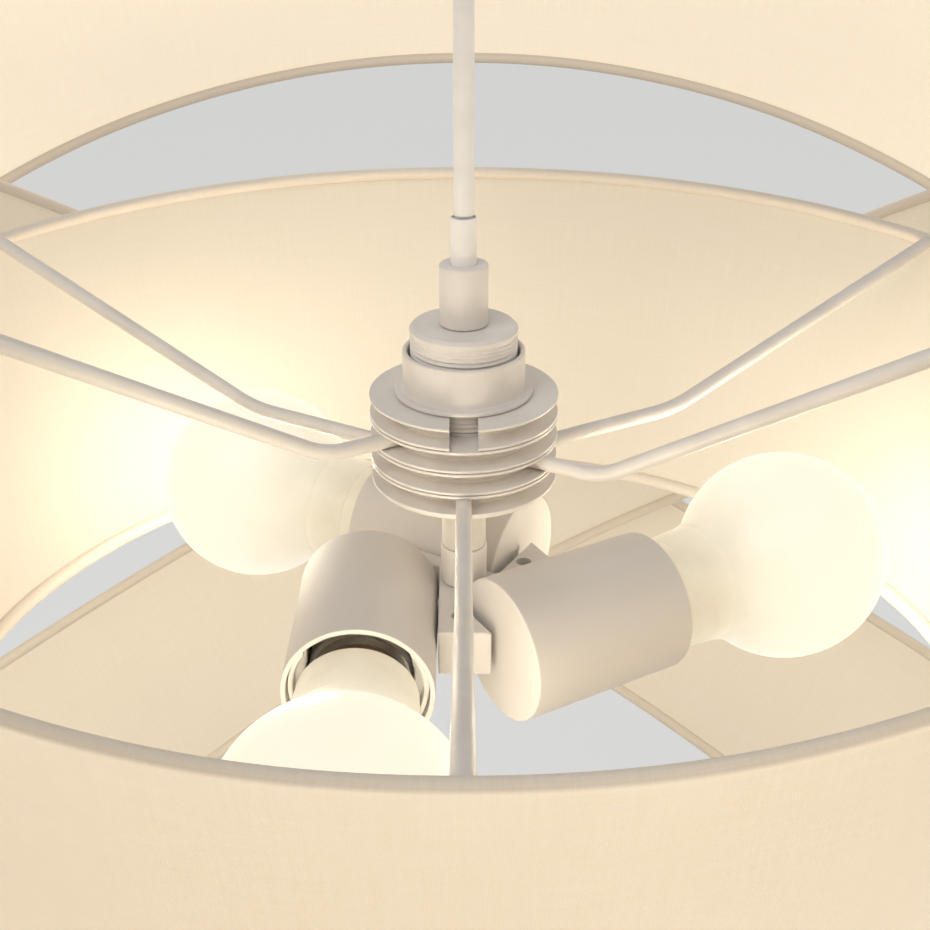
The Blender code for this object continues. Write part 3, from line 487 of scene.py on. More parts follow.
def cord_sheath():
    """Off-white round cord: smooth sheath with faint ripples of the cores inside."""
    sheath = Finish("cord_plastic", (0.83, 0.81, 0.79), 0.4, Specular_IOR_Level=0.45)
    place = sheath.place()
    height = sheath.part(place, "Z")
    sides = sheath.part(place, "X")
    twist = (height * 420 + sides * 700).sine()
    cloud = sheath.noise(place, 120, 3, 0.5)
    grain = sheath.noise(sheath.stretched(place, (4000, 4000, 600)), 1, 2, 0.5)
    body = sheath.mixed(cloud.between(0.3, 0.7), (0.85, 0.83, 0.81), (0.9, 0.88, 0.86))
    sheath.use(Base_Color=body, Roughness=0.34 + grain * 0.14)
    sheath.bump(twist * 0.4 + grain * 0.2, 0.1, 0.0002)
    return sheath.material


def floor_finish():
    """Pale plain floor with a faint mottle."""
    ground = Finish("pale_floor", (0.8, 0.79, 0.77), 0.9)
    mottle = ground.noise(ground.place(), 3, 3, 0.5)
    ground.use(Base_Color=ground.mixed(mottle, (0.79, 0.78, 0.76), (0.82, 0.81, 0.79)))
    seen = ground.node("ShaderNodeLightPath", output="Is Camera Ray")
    for ray in ("Is Glossy Ray", "Is Transmission Ray"):
        seen = seen.larger(ground.node("ShaderNodeLightPath", output=ray))
    pale = ground.node("ShaderNodeEmission", None, {"Color": PALE, "Strength": 1})
    surface = Number(ground, ground.shader.outputs["BSDF"])
    shown = ground.node("ShaderNodeMixShader", None, (seen * FLOOR_GLOW, surface, pale))
    ground.feed(ground.tree.nodes["Material Output"].inputs["Surface"], shown)
    return ground.material


def outward(azimuth):
    """Return the level direction of an azimuth in degrees: 0 is the front, 90 the right."""
    turn = math.radians(azimuth)
    return Vector((math.sin(turn), -math.cos(turn), 0))


def sideways(azimuth):
    """Return the level direction from an arm of the bracket to the holder beside it."""
    along = outward(azimuth)
    return Vector((along.y, -along.x, 0))


def axis_matrix(place, along, level=Vector((0, 0, 1))):
    """Return the matrix whose Z runs along a direction and whose X is as near as can be to level."""
    z_axis = Vector(along).normalized()
    y_axis = z_axis.cross(level).normalized()
    x_axis = y_axis.cross(z_axis)
    matrix = Matrix((x_axis, y_axis, z_axis)).transposed().to_4x4()
    matrix.translation = place
    return matrix


def at_height(height):
    """Return the matrix of a piece on the upright axis."""
    return Matrix.Translation((0, 0, height))


def band_matrix(azimuth, shift, drop):
    """Return the matrix of a tilted band: zero at its top edge's middle, X to its high side."""
    along = outward(azimuth)
    rising = along * math.cos(BAND_TILT) + Vector((0, 0, math.sin(BAND_TILT)))
    axis = Vector((0, 0, math.cos(BAND_TILT))) - along * math.sin(BAND_TILT)
    return axis_matrix(along * shift + Vector((0, 0, HUB_TOP - drop)), axis, rising)


def lofted(rings, looped=False, capped=True, thread=None):
    """Skin rings of points; thread holds the weave's metres round and along, and each side's offset."""
    rings = np.asarray(rings, float)
    rows, sides = rings.shape[:2]
    faces = []
    weave = []
    for row in range(rows if looped else rows - 1):
        after = (row + 1) % rows
        for side in range(sides):
            beside = (side + 1) % sides
            near, far = row * sides, after * sides
            faces.append((near + side, far + side, far + beside, near + beside))
            if thread is not None:
                corners = ((row, side), (row + 1, side), (row + 1, side + 1), (row, side + 1))
                weave += [(thread[0][b] + thread[2][row], thread[1][a]) for a, b in corners]
    if capped and not looped:
        faces.append(tuple(range(sides))[::-1])
        faces.append(tuple((rows - 1) * sides + side for side in range(sides)))
    mesh = bpy.data.meshes.new("shape")
    mesh.from_pydata(rings.reshape(-1, 3), [], faces)
    if thread is not None:
        layer = mesh.uv_layers.new(name="thread")
        layer.uv.foreach_set("vector", np.array(weave, np.float32).ravel())
    return tidied(mesh)


def tidied(mesh):
    """Merge doubled points and turn every face outwards."""
    shape = bmesh.new()
    shape.from_mesh(mesh)
    bmesh.ops.remove_doubles(shape, verts=shape.verts, dist=1e-7)
    bmesh.ops.dissolve_degenerate(shape, edges=shape.edges, dist=1e-7)
    bmesh.ops.recalc_face_normals(shape, faces=shape.faces)
    shape.to_mesh(mesh)
    shape.free()
    return mesh


def rounded(corners, steps=5, looped=False):
    """Round the corners (radius, height, fillet) of a profile; a fillet left out is sharp."""
    count = len(corners)
    points = []
    for index, corner in enumerate(corners):
        here = Vector(corner[:2])
        fillet = corner[2] if len(corner) > 2 else 0
        inside = looped or 0 < index < count - 1
        if not fillet or not inside:
            points.append(tuple(here))
            continue
        before = Vector(corners[index - 1][:2]) - here
        after = Vector(corners[(index + 1) % count][:2]) - here
        half = before.angle(after) / 2
        reach = min(fillet / math.tan(half), before.length * 0.49, after.length * 0.49)
        centre = here + (before.normalized() + after.normalized()).normalized() * (reach / math.cos(half))
        first = here + before.normalized() * reach - centre
        last = here + after.normalized() * reach - centre
        sweep = first.angle_signed(last)
        for step in range(steps + 1):
            turn = Matrix.Rotation(-sweep * step / steps, 2)
            points.append(tuple(centre + turn @ first))
    return points


def turned(profile, looped=False, segments=ROUND_SEGMENTS):
    """Turn (radius, height) or (radius, height, ridge depth, pitch) rows round Z."""
    turns = np.arange(segments) / segments
    rings = []
    for radius, height, *ridge in profile:
        reach = np.full(segments, radius)
        if ridge:
            depth, pitch = ridge
            phase = (height / pitch + turns) % 1
            reach = radius - depth * np.abs(2 * phase - 1)
        across, along = np.cos(turns * math.tau), np.sin(turns * math.tau)
        rings.append(np.stack([reach * across, reach * along, np.full(segments, height)], 1))
    return lofted(rings, looped)


def thread_rows(crest, depth, pitch, top, bottom, steps=8):
    """Return the rows of a screw thread from its top to its bottom, faded out at both ends."""
    count = max(2, round((top - bottom) / pitch * steps))
    rows = []
    for row in range(count + 1):
        height = top + (bottom - top) * row / count
        near = min(top - height, height - bottom) / pitch
        rows.append((crest - depth * (1 - min(1, near * 2)) * 0.4, height, depth * min(1, near * 2), pitch))
    return rows


def swept(points, radius, sides=WIRE_SIDES, looped=False):
    """Sweep a round wire along points, without twist; radius may hold one value a point."""
    points = [Vector(p) for p in points]
    count = len(points)
    radii = np.broadcast_to(radius, count)
    rings = []
    across = None
    for index, point in enumerate(points):
        after = points[(index + 1) % count] if looped or index < count - 1 else point
        before = points[index - 1] if looped or index > 0 else point
        along = (after - before).normalized()
        if across is None:
            across = along.orthogonal().normalized()
        across = (across - along * across.dot(along)).normalized()
        upright = along.cross(across)
        ring = []
        for side in range(sides):
            turn = math.tau * side / sides
            ring.append(point + (across * math.cos(turn) + upright * math.sin(turn)) * radii[index])
        rings.append(ring)
    return lofted(rings, looped)


def ring_wire(radius, height):
    """Return a level ring of wire."""
    rings = []
    for step in range(RING_SEGMENTS):
        turn = math.tau * step / RING_SEGMENTS
        along = Vector((math.cos(turn), math.sin(turn), 0))
        ring = []
        for side in range(WIRE_SIDES):
            angle = math.tau * side / WIRE_SIDES
            reach = radius + HEM_WIRE * math.cos(angle)
            ring.append(along * reach + Vector((0, 0, height + HEM_WIRE * math.sin(angle))))
        rings.append(ring)
    return lofted(rings, looped=True)


def show(item):
    """Put an object in the scene."""
    bpy.context.scene.collection.objects.link(item)


def moved(mesh, matrix):
    """Move the points of a mesh and return it."""
    mesh.transform(matrix)
    return mesh


def combined(base, tool, operation):
    """Return the base mesh joined with a tool, or cut by it."""
    body = bpy.data.objects.new("body", base)
    other = bpy.data.objects.new("other", tool)
    for item in (body, other):
        show(item)
    step = body.modifiers.new("step", "BOOLEAN")
    step.operation = operation
    step.solver = "EXACT"
    step.object = other
    graph = bpy.context.evaluated_depsgraph_get()
    result = bpy.data.meshes.new_from_object(body.evaluated_get(graph))
    bpy.data.objects.remove(body)
    bpy.data.objects.remove(other)
    return result


def piece(name, mesh, finish, body, matrix=Matrix.Identity(4), replaces=(), sharp=SHARP_ANGLE):
    """Add one piece that rides on a body and stands for the frame's nodes."""
    mesh.name = name
    mesh.materials.clear()
    mesh.materials.append(finish)
    mesh.shade_smooth()
    mesh.set_sharp_from_angle(angle=math.radians(sharp))
    item = bpy.data.objects.new(name, mesh)
    item.matrix_world = matrix
    show(item)
    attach(item, body)
    if replaces:
        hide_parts(*replaces)
    return item


def set_camera():
    """Put the camera where the photograph was taken from: near, and looking down by 27 degrees."""
    lens = bpy.data.cameras.new("camera")
    lens.lens = 50
    lens.sensor_width = 36
    lens.clip_start = NEAREST_SEEN
    lens.clip_end = 50
    camera = bpy.data.objects.new("camera", lens)
    camera.location = CAMERA_PLACE
    aim = Vector(CAMERA_AIM) - camera.location
    camera.rotation_euler = aim.to_track_quat("-Z", "Y").to_euler()
    show(camera)
    bpy.context.scene.camera = camera


def hang_cord(sheath):
    """Hang the cord from the ceiling fitting to the sleeve, as one straight piece."""
    heights = [CORD_TOP + (CORD_END - CORD_TOP) * row / CORD_ROWS for row in range(CORD_ROWS + 1)]
    path = [(0, 0, height) for height in heights]
    mesh = swept(path, CORD_RADIUS, sides=CORD_SIDES)
    cord = bpy.data.objects.new("cord", mesh)
    mesh.materials.append(sheath)
    mesh.shade_smooth()
    mesh.set_sharp_from_angle(angle=math.radians(SHARP_ANGLE))
    show(cord)
    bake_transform(cord)
    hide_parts("supply_cord")
    return cord, path


def dress_ceiling_fitting(looks):
    """Canopy and the bush under it; the parts inside keep their own shapes."""
    inner = CANOPY_RADIUS - CANOPY_WALL
    floor = CANOPY_WALL - CANOPY_DEPTH
    corners = [
        (CANOPY_RADIUS, -FIT),
        (CANOPY_RADIUS, -CANOPY_DEPTH, 0.007),
        (CANOPY_HOLE, -CANOPY_DEPTH, 0.0003),
        (CANOPY_HOLE, floor, 0.0003),
        (inner, floor, 0.0058),
        (inner, -FIT),
    ]
    cup = turned(rounded(corners, steps=10), looped=True, segments=SMOOTH_SEGMENTS)
    canopy = piece("canopy", cup, looks["paint"], "canopy", replaces=["canopy_cup"])
    corners = [
        (BUSH_NECK_RADIUS, BUSH_NECK_TOP),
        (BUSH_NECK_RADIUS, 0),
        (BUSH_RADIUS, 0, 0.0002),
        (BUSH_RADIUS, -BUSH_DEPTH, 0.0012),
        (CORD_WAY, -BUSH_DEPTH, 0.0006),
        (CORD_WAY, BUSH_NECK_TOP),
    ]
    bush = turned(rounded(corners), looped=True)
    place = at_height(-CANOPY_DEPTH - FIT)
    collar = piece("cord_bush", bush, looks["plastic"], "canopy", place, ["canopy_bush"])
    return [canopy, collar]


def dress_hanger(looks):
    """Sleeve round the cord and the grip under it."""
    corners = [
        (SLEEVE_RADIUS, 0, 0.0002),
        (SLEEVE_RADIUS, -SLEEVE_LENGTH),
        (CORD_WAY, -SLEEVE_LENGTH),
        (CORD_WAY, 0, 0.00015),
    ]
    sleeve = turned(rounded(corners, looped=True), looped=True)
    piece("sleeve", sleeve, looks["cord"], "hanger", at_height(SLEEVE_TOP), ["cord_sleeve"])
    corners = [
        (GRIP_RADIUS, 0, 0.0006),
        (GRIP_RADIUS, -GRIP_SHOULDER, 0.0001),
        (GRIP_NECK_RADIUS, -GRIP_SHOULDER, 0.0001),
        (GRIP_NECK_RADIUS, -GRIP_LENGTH, 0.0003),
        (CORD_WAY, -GRIP_LENGTH),
        (CORD_WAY, -GRIP_SEAT),
        (GRIP_BORE, -GRIP_SEAT),
        (GRIP_BORE, 0, 0.0002),
    ]
    grip = turned(rounded(corners, looped=True), looped=True)
    piece("grip", grip, looks["paint"], "hanger", at_height(GRIP_TOP), ["cord_grip"])


def dress_hub(looks):
    """Threaded cap, cup, threaded tube, collar and stem."""
    paint = looks["paint"]

    def turn_piece(name, rows, height, node):
        mesh = turned(rows, looped=True)
        piece(name, mesh, paint, "lamp", at_height(height), [node])

    bevel = 0.0009
    corners = [
        (CAP_HOLE, 0),
        (CAP_RADIUS - bevel, 0, 0.00015),
        (CAP_RADIUS, -bevel, 0.00015),
        (CAP_RADIUS, -2 * bevel),
    ]
    cap = rounded(corners, steps=3)
    cap += thread_rows(CAP_RADIUS, THREAD_DEPTH, THREAD_PITCH, -0.0019, -0.0095)
    cap += [(CAP_RADIUS - THREAD_DEPTH, -CAP_LENGTH), (CAP_HOLE, -CAP_LENGTH)]
    turn_piece("cap", cap, CAP_TOP, "threaded_cap")
    corners = [
        (CUP_RADIUS, 0, 0.0006),
        (CUP_RADIUS, -CUP_LIP, 0.0004),
        (CUP_LIP_RADIUS, -CUP_LIP, 0.0003),
        (CUP_LIP_RADIUS, -CUP_DEPTH, 0.0002),
        (CAP_HOLE, -CUP_DEPTH),
        (CAP_HOLE, -CUP_FLOOR),
        (CUP_BORE, -CUP_FLOOR, 0.0004),
        (CUP_BORE, 0, 0.0006),
    ]
    turn_piece("cup", rounded(corners, looped=True), CUP_RIM, "hub_cup")
    length = HUB_TOP - COLLAR_BASE
    floor = TUBE_FLOOR - length
    edge = 0.0002
    tube = [(TUBE_WAY, 0), (TUBE_END_RADIUS, 0)]
    tube += thread_rows(HUB_TUBE_RADIUS, THREAD_DEPTH, THREAD_PITCH, -edge, edge - length)
    tube += [(TUBE_END_RADIUS, -length), (TUBE_BORE, -length)]
    tube += [(TUBE_BORE, floor), (TUBE_WAY, floor)]
    turn_piece("tube", tube, HUB_TOP, "hub_tube")
    corners = [
        (COLLAR_RADIUS, 0, 0.0003),
        (COLLAR_RADIUS, -COLLAR_HEIGHT, 0.0003),
        (COLLAR_BORE, -COLLAR_HEIGHT),
        (COLLAR_BORE, 0),
    ]
    turn_piece("collar", rounded(corners, looped=True), COLLAR_TOP, "hub_collar")
    stem = [(STEM_RADIUS, 0), (STEM_RADIUS, -STEM_LENGTH), (STEM_WAY, -STEM_LENGTH), (STEM_WAY, 0)]
    turn_piece("stem", stem, COLLAR_BASE + STEM_IN_HUB, "stem_tube")
    corners = [
        (COUPLER_RADIUS, 0, 0.0005),
        (COUPLER_RADIUS, -COUPLER_LENGTH, 0.0003),
        (STEM_WAY, -COUPLER_LENGTH),
        (STEM_WAY, 0, 0.0003),
    ]
    turn_piece("coupler", rounded(corners, looped=True), COUPLER_TOP, "stem_coupler")


def spool(notch_azimuth=None):
    """Return a flat spool of two washers round a spacer, with a notch that keys it."""
    half = SPOOL_HEIGHT / 2
    bore = HUB_TUBE_RADIUS + 2 * FIT
    edge = 0.0002
    corners = [
        (HUB_RADIUS, half, edge),
        (HUB_RADIUS, half - WASHER_THICKNESS, edge),
        (SPACER_RADIUS, half - WASHER_THICKNESS, 0.0004),
        (SPACER_RADIUS, WASHER_THICKNESS - half, 0.0004),
        (HUB_RADIUS, WASHER_THICKNESS - half, edge),
        (HUB_RADIUS, -half, edge),
        (bore, -half),
        (bore, half),
    ]
    profile = rounded(corners, steps=4, looped=True)
    if notch_azimuth is None:
        return turned(profile, looped=True, segments=SPOOL_SEGMENTS)
    middle = math.radians(notch_azimuth - 90)
    sections = []
    for step in range(NOTCHED_STEPS + 1):
        section = []
        for radius, height in profile:
            opening = math.asin(NOTCH_WIDTH / 2 / radius)
            turn = middle + opening + (math.tau - 2 * opening) * step / NOTCHED_STEPS
            section.append((radius * math.cos(turn), radius * math.sin(turn), height))
        sections.append(section)
    return lofted(sections)


def arm(azimuth, level_reach, end):
    """Return an arm: level out of the spool, bent once, then straight to the ring."""
    along = outward(azimuth)
    corner = along * level_reach
    rising = (end - corner).normalized()
    before = corner - along * ARM_BEND
    after = corner + rising * ARM_BEND
    points = [along * ARM_ROOT, before - along * ARM_BEND]
    for step in range(ARM_BEND_STEPS + 1):
        share = step / ARM_BEND_STEPS
        points.append(before.lerp(corner, share).lerp(corner.lerp(after, share), share))
    points += [after.lerp(end, 0.3), end - rising * 0.003, end - rising * 0.0016, end]
    # The last two points taper the arm into its ring.
    return swept(points, [WIRE_RADIUS] * (len(points) - 2) + [WIRE_RADIUS * 0.85, WIRE_RADIUS * 0.45])


def strip(path, thickness):
    """Return the closed outline of a strip of cloth along a path, and each point's way along it."""
    path = [Vector(p) for p in path]
    one_side = []
    other_side = []
    for index, point in enumerate(path):
        before = path[max(index - 1, 0)]
        after = path[min(index + 1, len(path) - 1)]
        along = (after - before).normalized()
        across = Vector((-along.y, along.x)) * thickness / 2
        one_side.append(point + across)
        other_side.append(point - across)
    walked = [0]
    for before, after in zip(path, path[1:]):
        walked.append(walked[-1] + (after - before).length)
    return one_side + other_side[::-1], walked + walked[::-1]


def hem_path(wall_length, slope):
    """Return the middle of the cloth's section: out (inwards, down) from the top edge, hem to hem."""
    inset = CLOTH_INSET + CLOTH_THICKNESS / 2
    wrap = HEM_IN - inset

    def hem(centre, direction):
        points = []
        for step in range(HEM_STEPS + 1):
            turn = HEM_TURN * (1 - step / HEM_STEPS)
            points.append((HEM_IN - wrap * math.cos(turn), centre - direction * wrap * math.sin(turn)))
        tuck = [(inset + 0.0006, centre + direction * 0.0022), (inset + 0.0013, centre + direction * 0.002)]
        return tuck + points

    top = (HEM_DROP + HEM_IN * math.sin(slope)) / math.cos(slope)
    bottom = wall_length - HEM_DROP / math.cos(slope) + HEM_IN * math.tan(slope)
    path = hem(top, 1)
    for share in np.linspace(0, 1, WALL_POINTS)[1:-1]:
        path.append((inset, top + (bottom - top) * share))
    return path + hem(bottom, -1)[::-1]


def cloth_wall(name, matrix, size, seam_azimuth, frame_node, inner_glow):
    """Add the cloth of a shade, wrapped round both rings, with its lapped seam."""
    top_radius, bottom_radius, height = size
    slope = math.atan2(top_radius - bottom_radius, height)
    wall_length = height / math.cos(slope)
    outline, walked = strip(hem_path(wall_length, slope), CLOTH_THICKNESS)
    profile = []
    for inwards, down in outline:
        profile.append(
            (
                top_radius - down * math.sin(slope) - inwards * math.cos(slope),
                inwards * math.sin(slope) - down * math.cos(slope),
                down,
            )
        )
    towards = matrix.to_3x3().inverted() @ outward(seam_azimuth)
    seam = math.atan2(towards.y, towards.x)
    half = SEAM_WIDTH / 2 / top_radius
    ramp = SEAM_STEP / top_radius
    lap = [seam - half - ramp, seam - half, seam + half, seam + half + ramp]
    turns = [turn + math.tau if turn < seam else turn for turn in lap]
    for step in range(1, RING_SEGMENTS):
        past_seam = math.tau * step / RING_SEGMENTS
        if half + ramp < past_seam < math.tau - half - ramp:
            turns.append(seam + past_seam)
    turns.sort()
    raised = {lap[1] + math.tau, lap[2]}
    rings = []
    for radius, level, down in profile:
        ring = []
        outer_side = radius > top_radius - down * math.sin(slope) - 2 * CLOTH_THICKNESS
        lapped = outer_side and SEAM_MARGIN < down < wall_length - SEAM_MARGIN
        for turn in turns:
            ripple = 0.00012 * math.sin(7 * turn + 40 * down) + 0.00008 * math.sin(17 * turn - 23 * down)
            step = SEAM_STEP if turn in raised and lapped else 0
            reach = radius + ripple + step
            ring.append((reach * math.cos(turn), reach * math.sin(turn), level))
        rings.append(ring)
    around = [turn * top_radius for turn in turns] + [(turns[0] + math.tau) * top_radius]
    along = walked + walked[:1]
    sides = [0] * (len(walked) // 2) + [INNER_SIDE] * (len(walked) // 2)
    mesh = lofted(rings, looped=True, thread=(around, along, sides))
    roll = walked[HEM_POINTS - 1]
    finish = cloth_finish(name, max(walked), roll, inner_glow)
    return piece(name, mesh, finish, "lamp", matrix, [frame_node], sharp=50), max(walked)


def dress_shades(looks):
    """Cloth, rings and arms of the drum and the three tilted bands."""
    # Name, azimuth of the arm, radius, height, shift, drop, azimuth of the seam, glow inside
    bands = (
        ("back_band", 180, BACK_RADIUS, BACK_HEIGHT, -0.0041, 0.0283, 0, 1.0),
        ("left_band", -60, LEFT_RADIUS, LEFT_HEIGHT, -0.0051, 0.0338, 30, 0.5),
        ("right_band", 60, RIGHT_RADIUS, RIGHT_HEIGHT, -0.003, 0.033, -30, 0.5),
    )
    for level, (name, azimuth, radius, height, shift, drop, seam, inner_glow) in enumerate(bands):
        matrix = band_matrix(azimuth, shift, drop)
        size = (radius, radius, height)
        dress_shade(looks, name, matrix, size, level, (azimuth,), BAND_LEVEL_REACH, seam, inner_glow)
    matrix = at_height(HUB_TOP + DRUM_RISE)
    size = (DRUM_TOP_RADIUS, DRUM_BOTTOM_RADIUS, DRUM_HEIGHT)
    dress_shade(looks, "drum", matrix, size, len(bands), THREE_WAYS, DRUM_LEVEL_REACH, 90, DRUM_INNER_GLOW)


def dress_shade(looks, name, matrix, size, level, arms, level_reach, seam, inner_glow):
    """Lower ring, wire frame and cloth of one shade; its size is two radii and its height."""
    top_radius, bottom_radius, height = size
    slope = math.atan2(top_radius - bottom_radius, height)
    inset = HEM_IN / math.cos(slope)
    paint = looks["paint"]
    lower_radius = bottom_radius + HEM_DROP * math.tan(slope) - inset
    lower_ring = ring_wire(lower_radius, HEM_DROP - height)
    ring_name = name + "_hem_ring"
    piece(ring_name, lower_ring, paint, "lamp", matrix, [name + "_lower_ring"])
    origin = at_height(HUB_TOP - level * HUB_PITCH - SPOOL_HEIGHT / 2)
    upper_radius = top_radius - HEM_DROP * math.tan(slope) - inset
    to_ring = origin.inverted() @ matrix @ at_height(-HEM_DROP)
    body = spool(arms[0] + 180 if len(arms) == 1 else None)
    for azimuth in arms:
        towards = to_ring.to_3x3().inverted() @ outward(azimuth)
        towards.z = 0
        end = to_ring @ (towards.normalized() * upper_radius)
        body = combined(body, arm(azimuth, level_reach, end), "UNION")
    body = combined(body, moved(ring_wire(upper_radius, 0), to_ring), "UNION")
    frame_name = name + "_wire_frame"
    piece(frame_name, body, paint, "lamp", origin, [name + "_spider"])
    cloth, cut_width = cloth_wall(name + "_cloth", matrix, size, seam, name + "_fabric", inner_glow)
    round_length = math.pi * (top_radius + bottom_radius) + SEAM_WIDTH


def dress_bracket(looks):
    """Three-armed block with rounded edges, its bores and its plug."""
    half = BRACKET_HALF_WIDTH
    reach = BRACKET_REACH
    back = BRACKET_BACK
    third = math.radians(120)
    far = (reach + back * math.cos(third)) / math.sin(third)
    shape = bmesh.new()
    base = []
    for azimuth in (120, 0, 240):
        along = outward(azimuth)
        side = sideways(azimuth)
        corners = (along * reach + side * half, side * half - along * back, side * far - along * back)
        base += [shape.verts.new(corner - Vector((0, 0, BRACKET_HEIGHT))) for corner in corners]
    face = shape.faces.new(base)
    grown = bmesh.ops.extrude_face_region(shape, geom=[face])
    top = [item for item in grown["geom"] if isinstance(item, bmesh.types.BMVert)]
    bmesh.ops.translate(shape, vec=(0, 0, BRACKET_HEIGHT), verts=top)
    bmesh.ops.recalc_face_normals(shape, faces=shape.faces)
    bmesh.ops.bevel(
        shape, geom=shape.edges, offset=BRACKET_EDGE, segments=4, profile=0.5, affect="EDGES"
    )
    block = bpy.data.meshes.new("block")
    shape.to_mesh(block)
    shape.free()
    through = BRACKET_HEIGHT + 2 * BORE_OVERRUN
    stem_bore = [(STEM_BORE, BORE_OVERRUN), (STEM_BORE, BORE_OVERRUN - through)]
    tools = [turned(stem_bore, segments=BORE_SEGMENTS)]
    for azimuth in THREE_WAYS:
        along = outward(azimuth)
        side = sideways(azimuth)
        place = along * 0.0187 + side * 0.0012 + Vector((0, 0, BORE_OVERRUN))
        upright = turned(rounded([(ARM_BORE, 0), (ARM_BORE, -through)]), segments=BORE_SEGMENTS)
        tools.append(moved(upright, Matrix.Translation(place)))
        place = along * 0.005 + side * (half + BORE_OVERRUN) - Vector((0, 0, BRACKET_HEIGHT / 2))
        level = turned([(LEVEL_BORE, 0), (LEVEL_BORE, -LEVEL_BORE_DEPTH)], segments=BORE_SEGMENTS)
        tools.append(moved(level, axis_matrix(place, side)))
    for tool in tools:
        block = combined(block, tool, "DIFFERENCE")
    plastic = looks["plastic"]
    piece("holder_bracket", block, plastic, "lamp", at_height(BRACKET_TOP), ["bracket"])
    corners = [
        (0, PLUG_NECK_TOP),
        (PLUG_NECK_RADIUS, PLUG_NECK_TOP, 0.0003),
        (PLUG_NECK_RADIUS, 0),
        (PLUG_RADIUS, 0, 0.0002),
        (PLUG_RADIUS, -PLUG_DEPTH, 0.0008),
        (0, -PLUG_DEPTH),
    ]
    plug = rounded(corners)
    place = at_height(BRACKET_TOP - BRACKET_HEIGHT - FIT)
    piece("plug", turned(plug), plastic, "lamp", place, ["bracket_plug"])


def dress_holder(looks, name, azimuth):
    """Cover, socket and lit bulb of one lampholder."""
    along = outward(azimuth)
    place = sideways(azimuth) * HOLDER_OFFSET + Vector((0, 0, HOLDER_HEIGHT))
    matrix = axis_matrix(place, along)
    inner = COVER_RADIUS - COVER_WALL
    corners = [
        (0, COVER_BACK + COVER_WALL),
        (inner, COVER_BACK + COVER_WALL, 0.0008),
        (inner, COVER_MOUTH, 0.00015),
        (COVER_RADIUS, COVER_MOUTH, 0.0002),
        (COVER_RADIUS, COVER_BACK, 0.0005),
        (0, COVER_BACK),
    ]
    cover = rounded(corners, steps=6)
    cover = turned(cover, segments=SMOOTH_SEGMENTS)
    nodes = ["cover_" + name]
    piece("holder_cover_" + name, cover, looks["plastic"], "lamp", matrix, nodes)
    skirt = inner - FIT
    foot = COVER_BACK + COVER_WALL + FIT
    corners = [
        (0, SOCKET_FLOOR),
        (SOCKET_BORE, SOCKET_FLOOR),
        (SOCKET_BORE, SOCKET_SHOULDER, 0.0008),
        (skirt - SKIRT_WALL, SOCKET_SHOULDER),
        (skirt - SKIRT_WALL, SKIRT_END, 0.0003),
        (skirt, SKIRT_END, 0.0003),
        (skirt, SOCKET_STEP, 0.0006),
        (SOCKET_FOOT_RADIUS, SOCKET_STEP),
        (SOCKET_FOOT_RADIUS, foot),
        (0, foot),
    ]
    socket = rounded(corners)
    gap = bmesh.new()
    gap_size = Matrix.Diagonal((SKIRT_GAP_LENGTH, SKIRT_GAP_WIDTH, SKIRT_GAP_END - SKIRT_GAP_FLOOR, 1))
    gap_place = at_height((SKIRT_GAP_FLOOR + SKIRT_GAP_END) / 2)
    bmesh.ops.create_cube(gap, size=1, matrix=gap_place @ gap_size)
    between_skirts = bpy.data.meshes.new("gap")
    gap.to_mesh(between_skirts)
    gap.free()
    skirted = combined(turned(socket), between_skirts, "DIFFERENCE")
    nodes = ["socket_" + name]
    piece("lamp_socket_" + name, skirted, looks["ceramic"], "lamp", matrix, nodes)
    dress_bulb(looks, name, matrix)
    light_bulb(name, place + along * BULB_CENTRE)


def dress_bulb(looks, name, matrix):
    """Screw cap and opal globe of one bulb; a core of the cap fills the globe's neck, out of sight."""
    body = "bulb_body_" + name
    thread = thread_rows(
        BULB_CAP_RADIUS, BULB_THREAD_DEPTH, BULB_THREAD_PITCH, BULB_THREAD_END, BULB_THREAD_START, steps=12
    )
    cap = [(0, BULB_CAP_START), (0.0066, BULB_CAP_START), (0.0118, BULB_CAP_START + 0.004)]
    cap += [(radius, height, depth, -pitch) for radius, height, depth, pitch in thread[::-1]]
    cap += [(BULB_CAP_RADIUS, BULB_CAP_END), (0.0125, BULB_CAP_END), (0.0125, 0.0458)]
    cap += [(BULB_CORE_RADIUS, 0.0466), (BULB_CORE_RADIUS, BULB_NECK_END), (0, BULB_NECK_END)]
    nodes = ["bulb_cap_" + name]
    piece("screw_cap_" + name, turned(cap), looks["steel"], body, matrix, nodes)
    globe = turned(rounded(globe_corners(), steps=6), segments=SMOOTH_SEGMENTS)
    nodes = ["bulb_globe_" + name]
    opal = piece("globe_" + name, globe, looks["opal"], body, matrix, nodes)
    opal.visible_shadow = False


def light_bulb(name, place):
    """Put a lamp in a bulb. Bounced rays stop at the globe, so only rays aimed at the lamp count it."""
    light = bpy.data.lights.new("glow_" + name, "POINT")
    light.energy = BULB_POWER
    light.color = (1.0, 0.89, 0.7)
    light.use_soft_falloff = False
    light.cycles.use_multiple_importance_sampling = False
    light.shadow_soft_size = BULB_LAMP_RADIUS
    lamp = bpy.data.objects.new("glow_" + name, light)
    lamp.visible_camera = False
    show(lamp)
    body = frame["bodies"]["bulb_body_" + name]
    lamp.parent = body
    lamp.matrix_parent_inverse = body.matrix_world.inverted()
    lamp.location = place


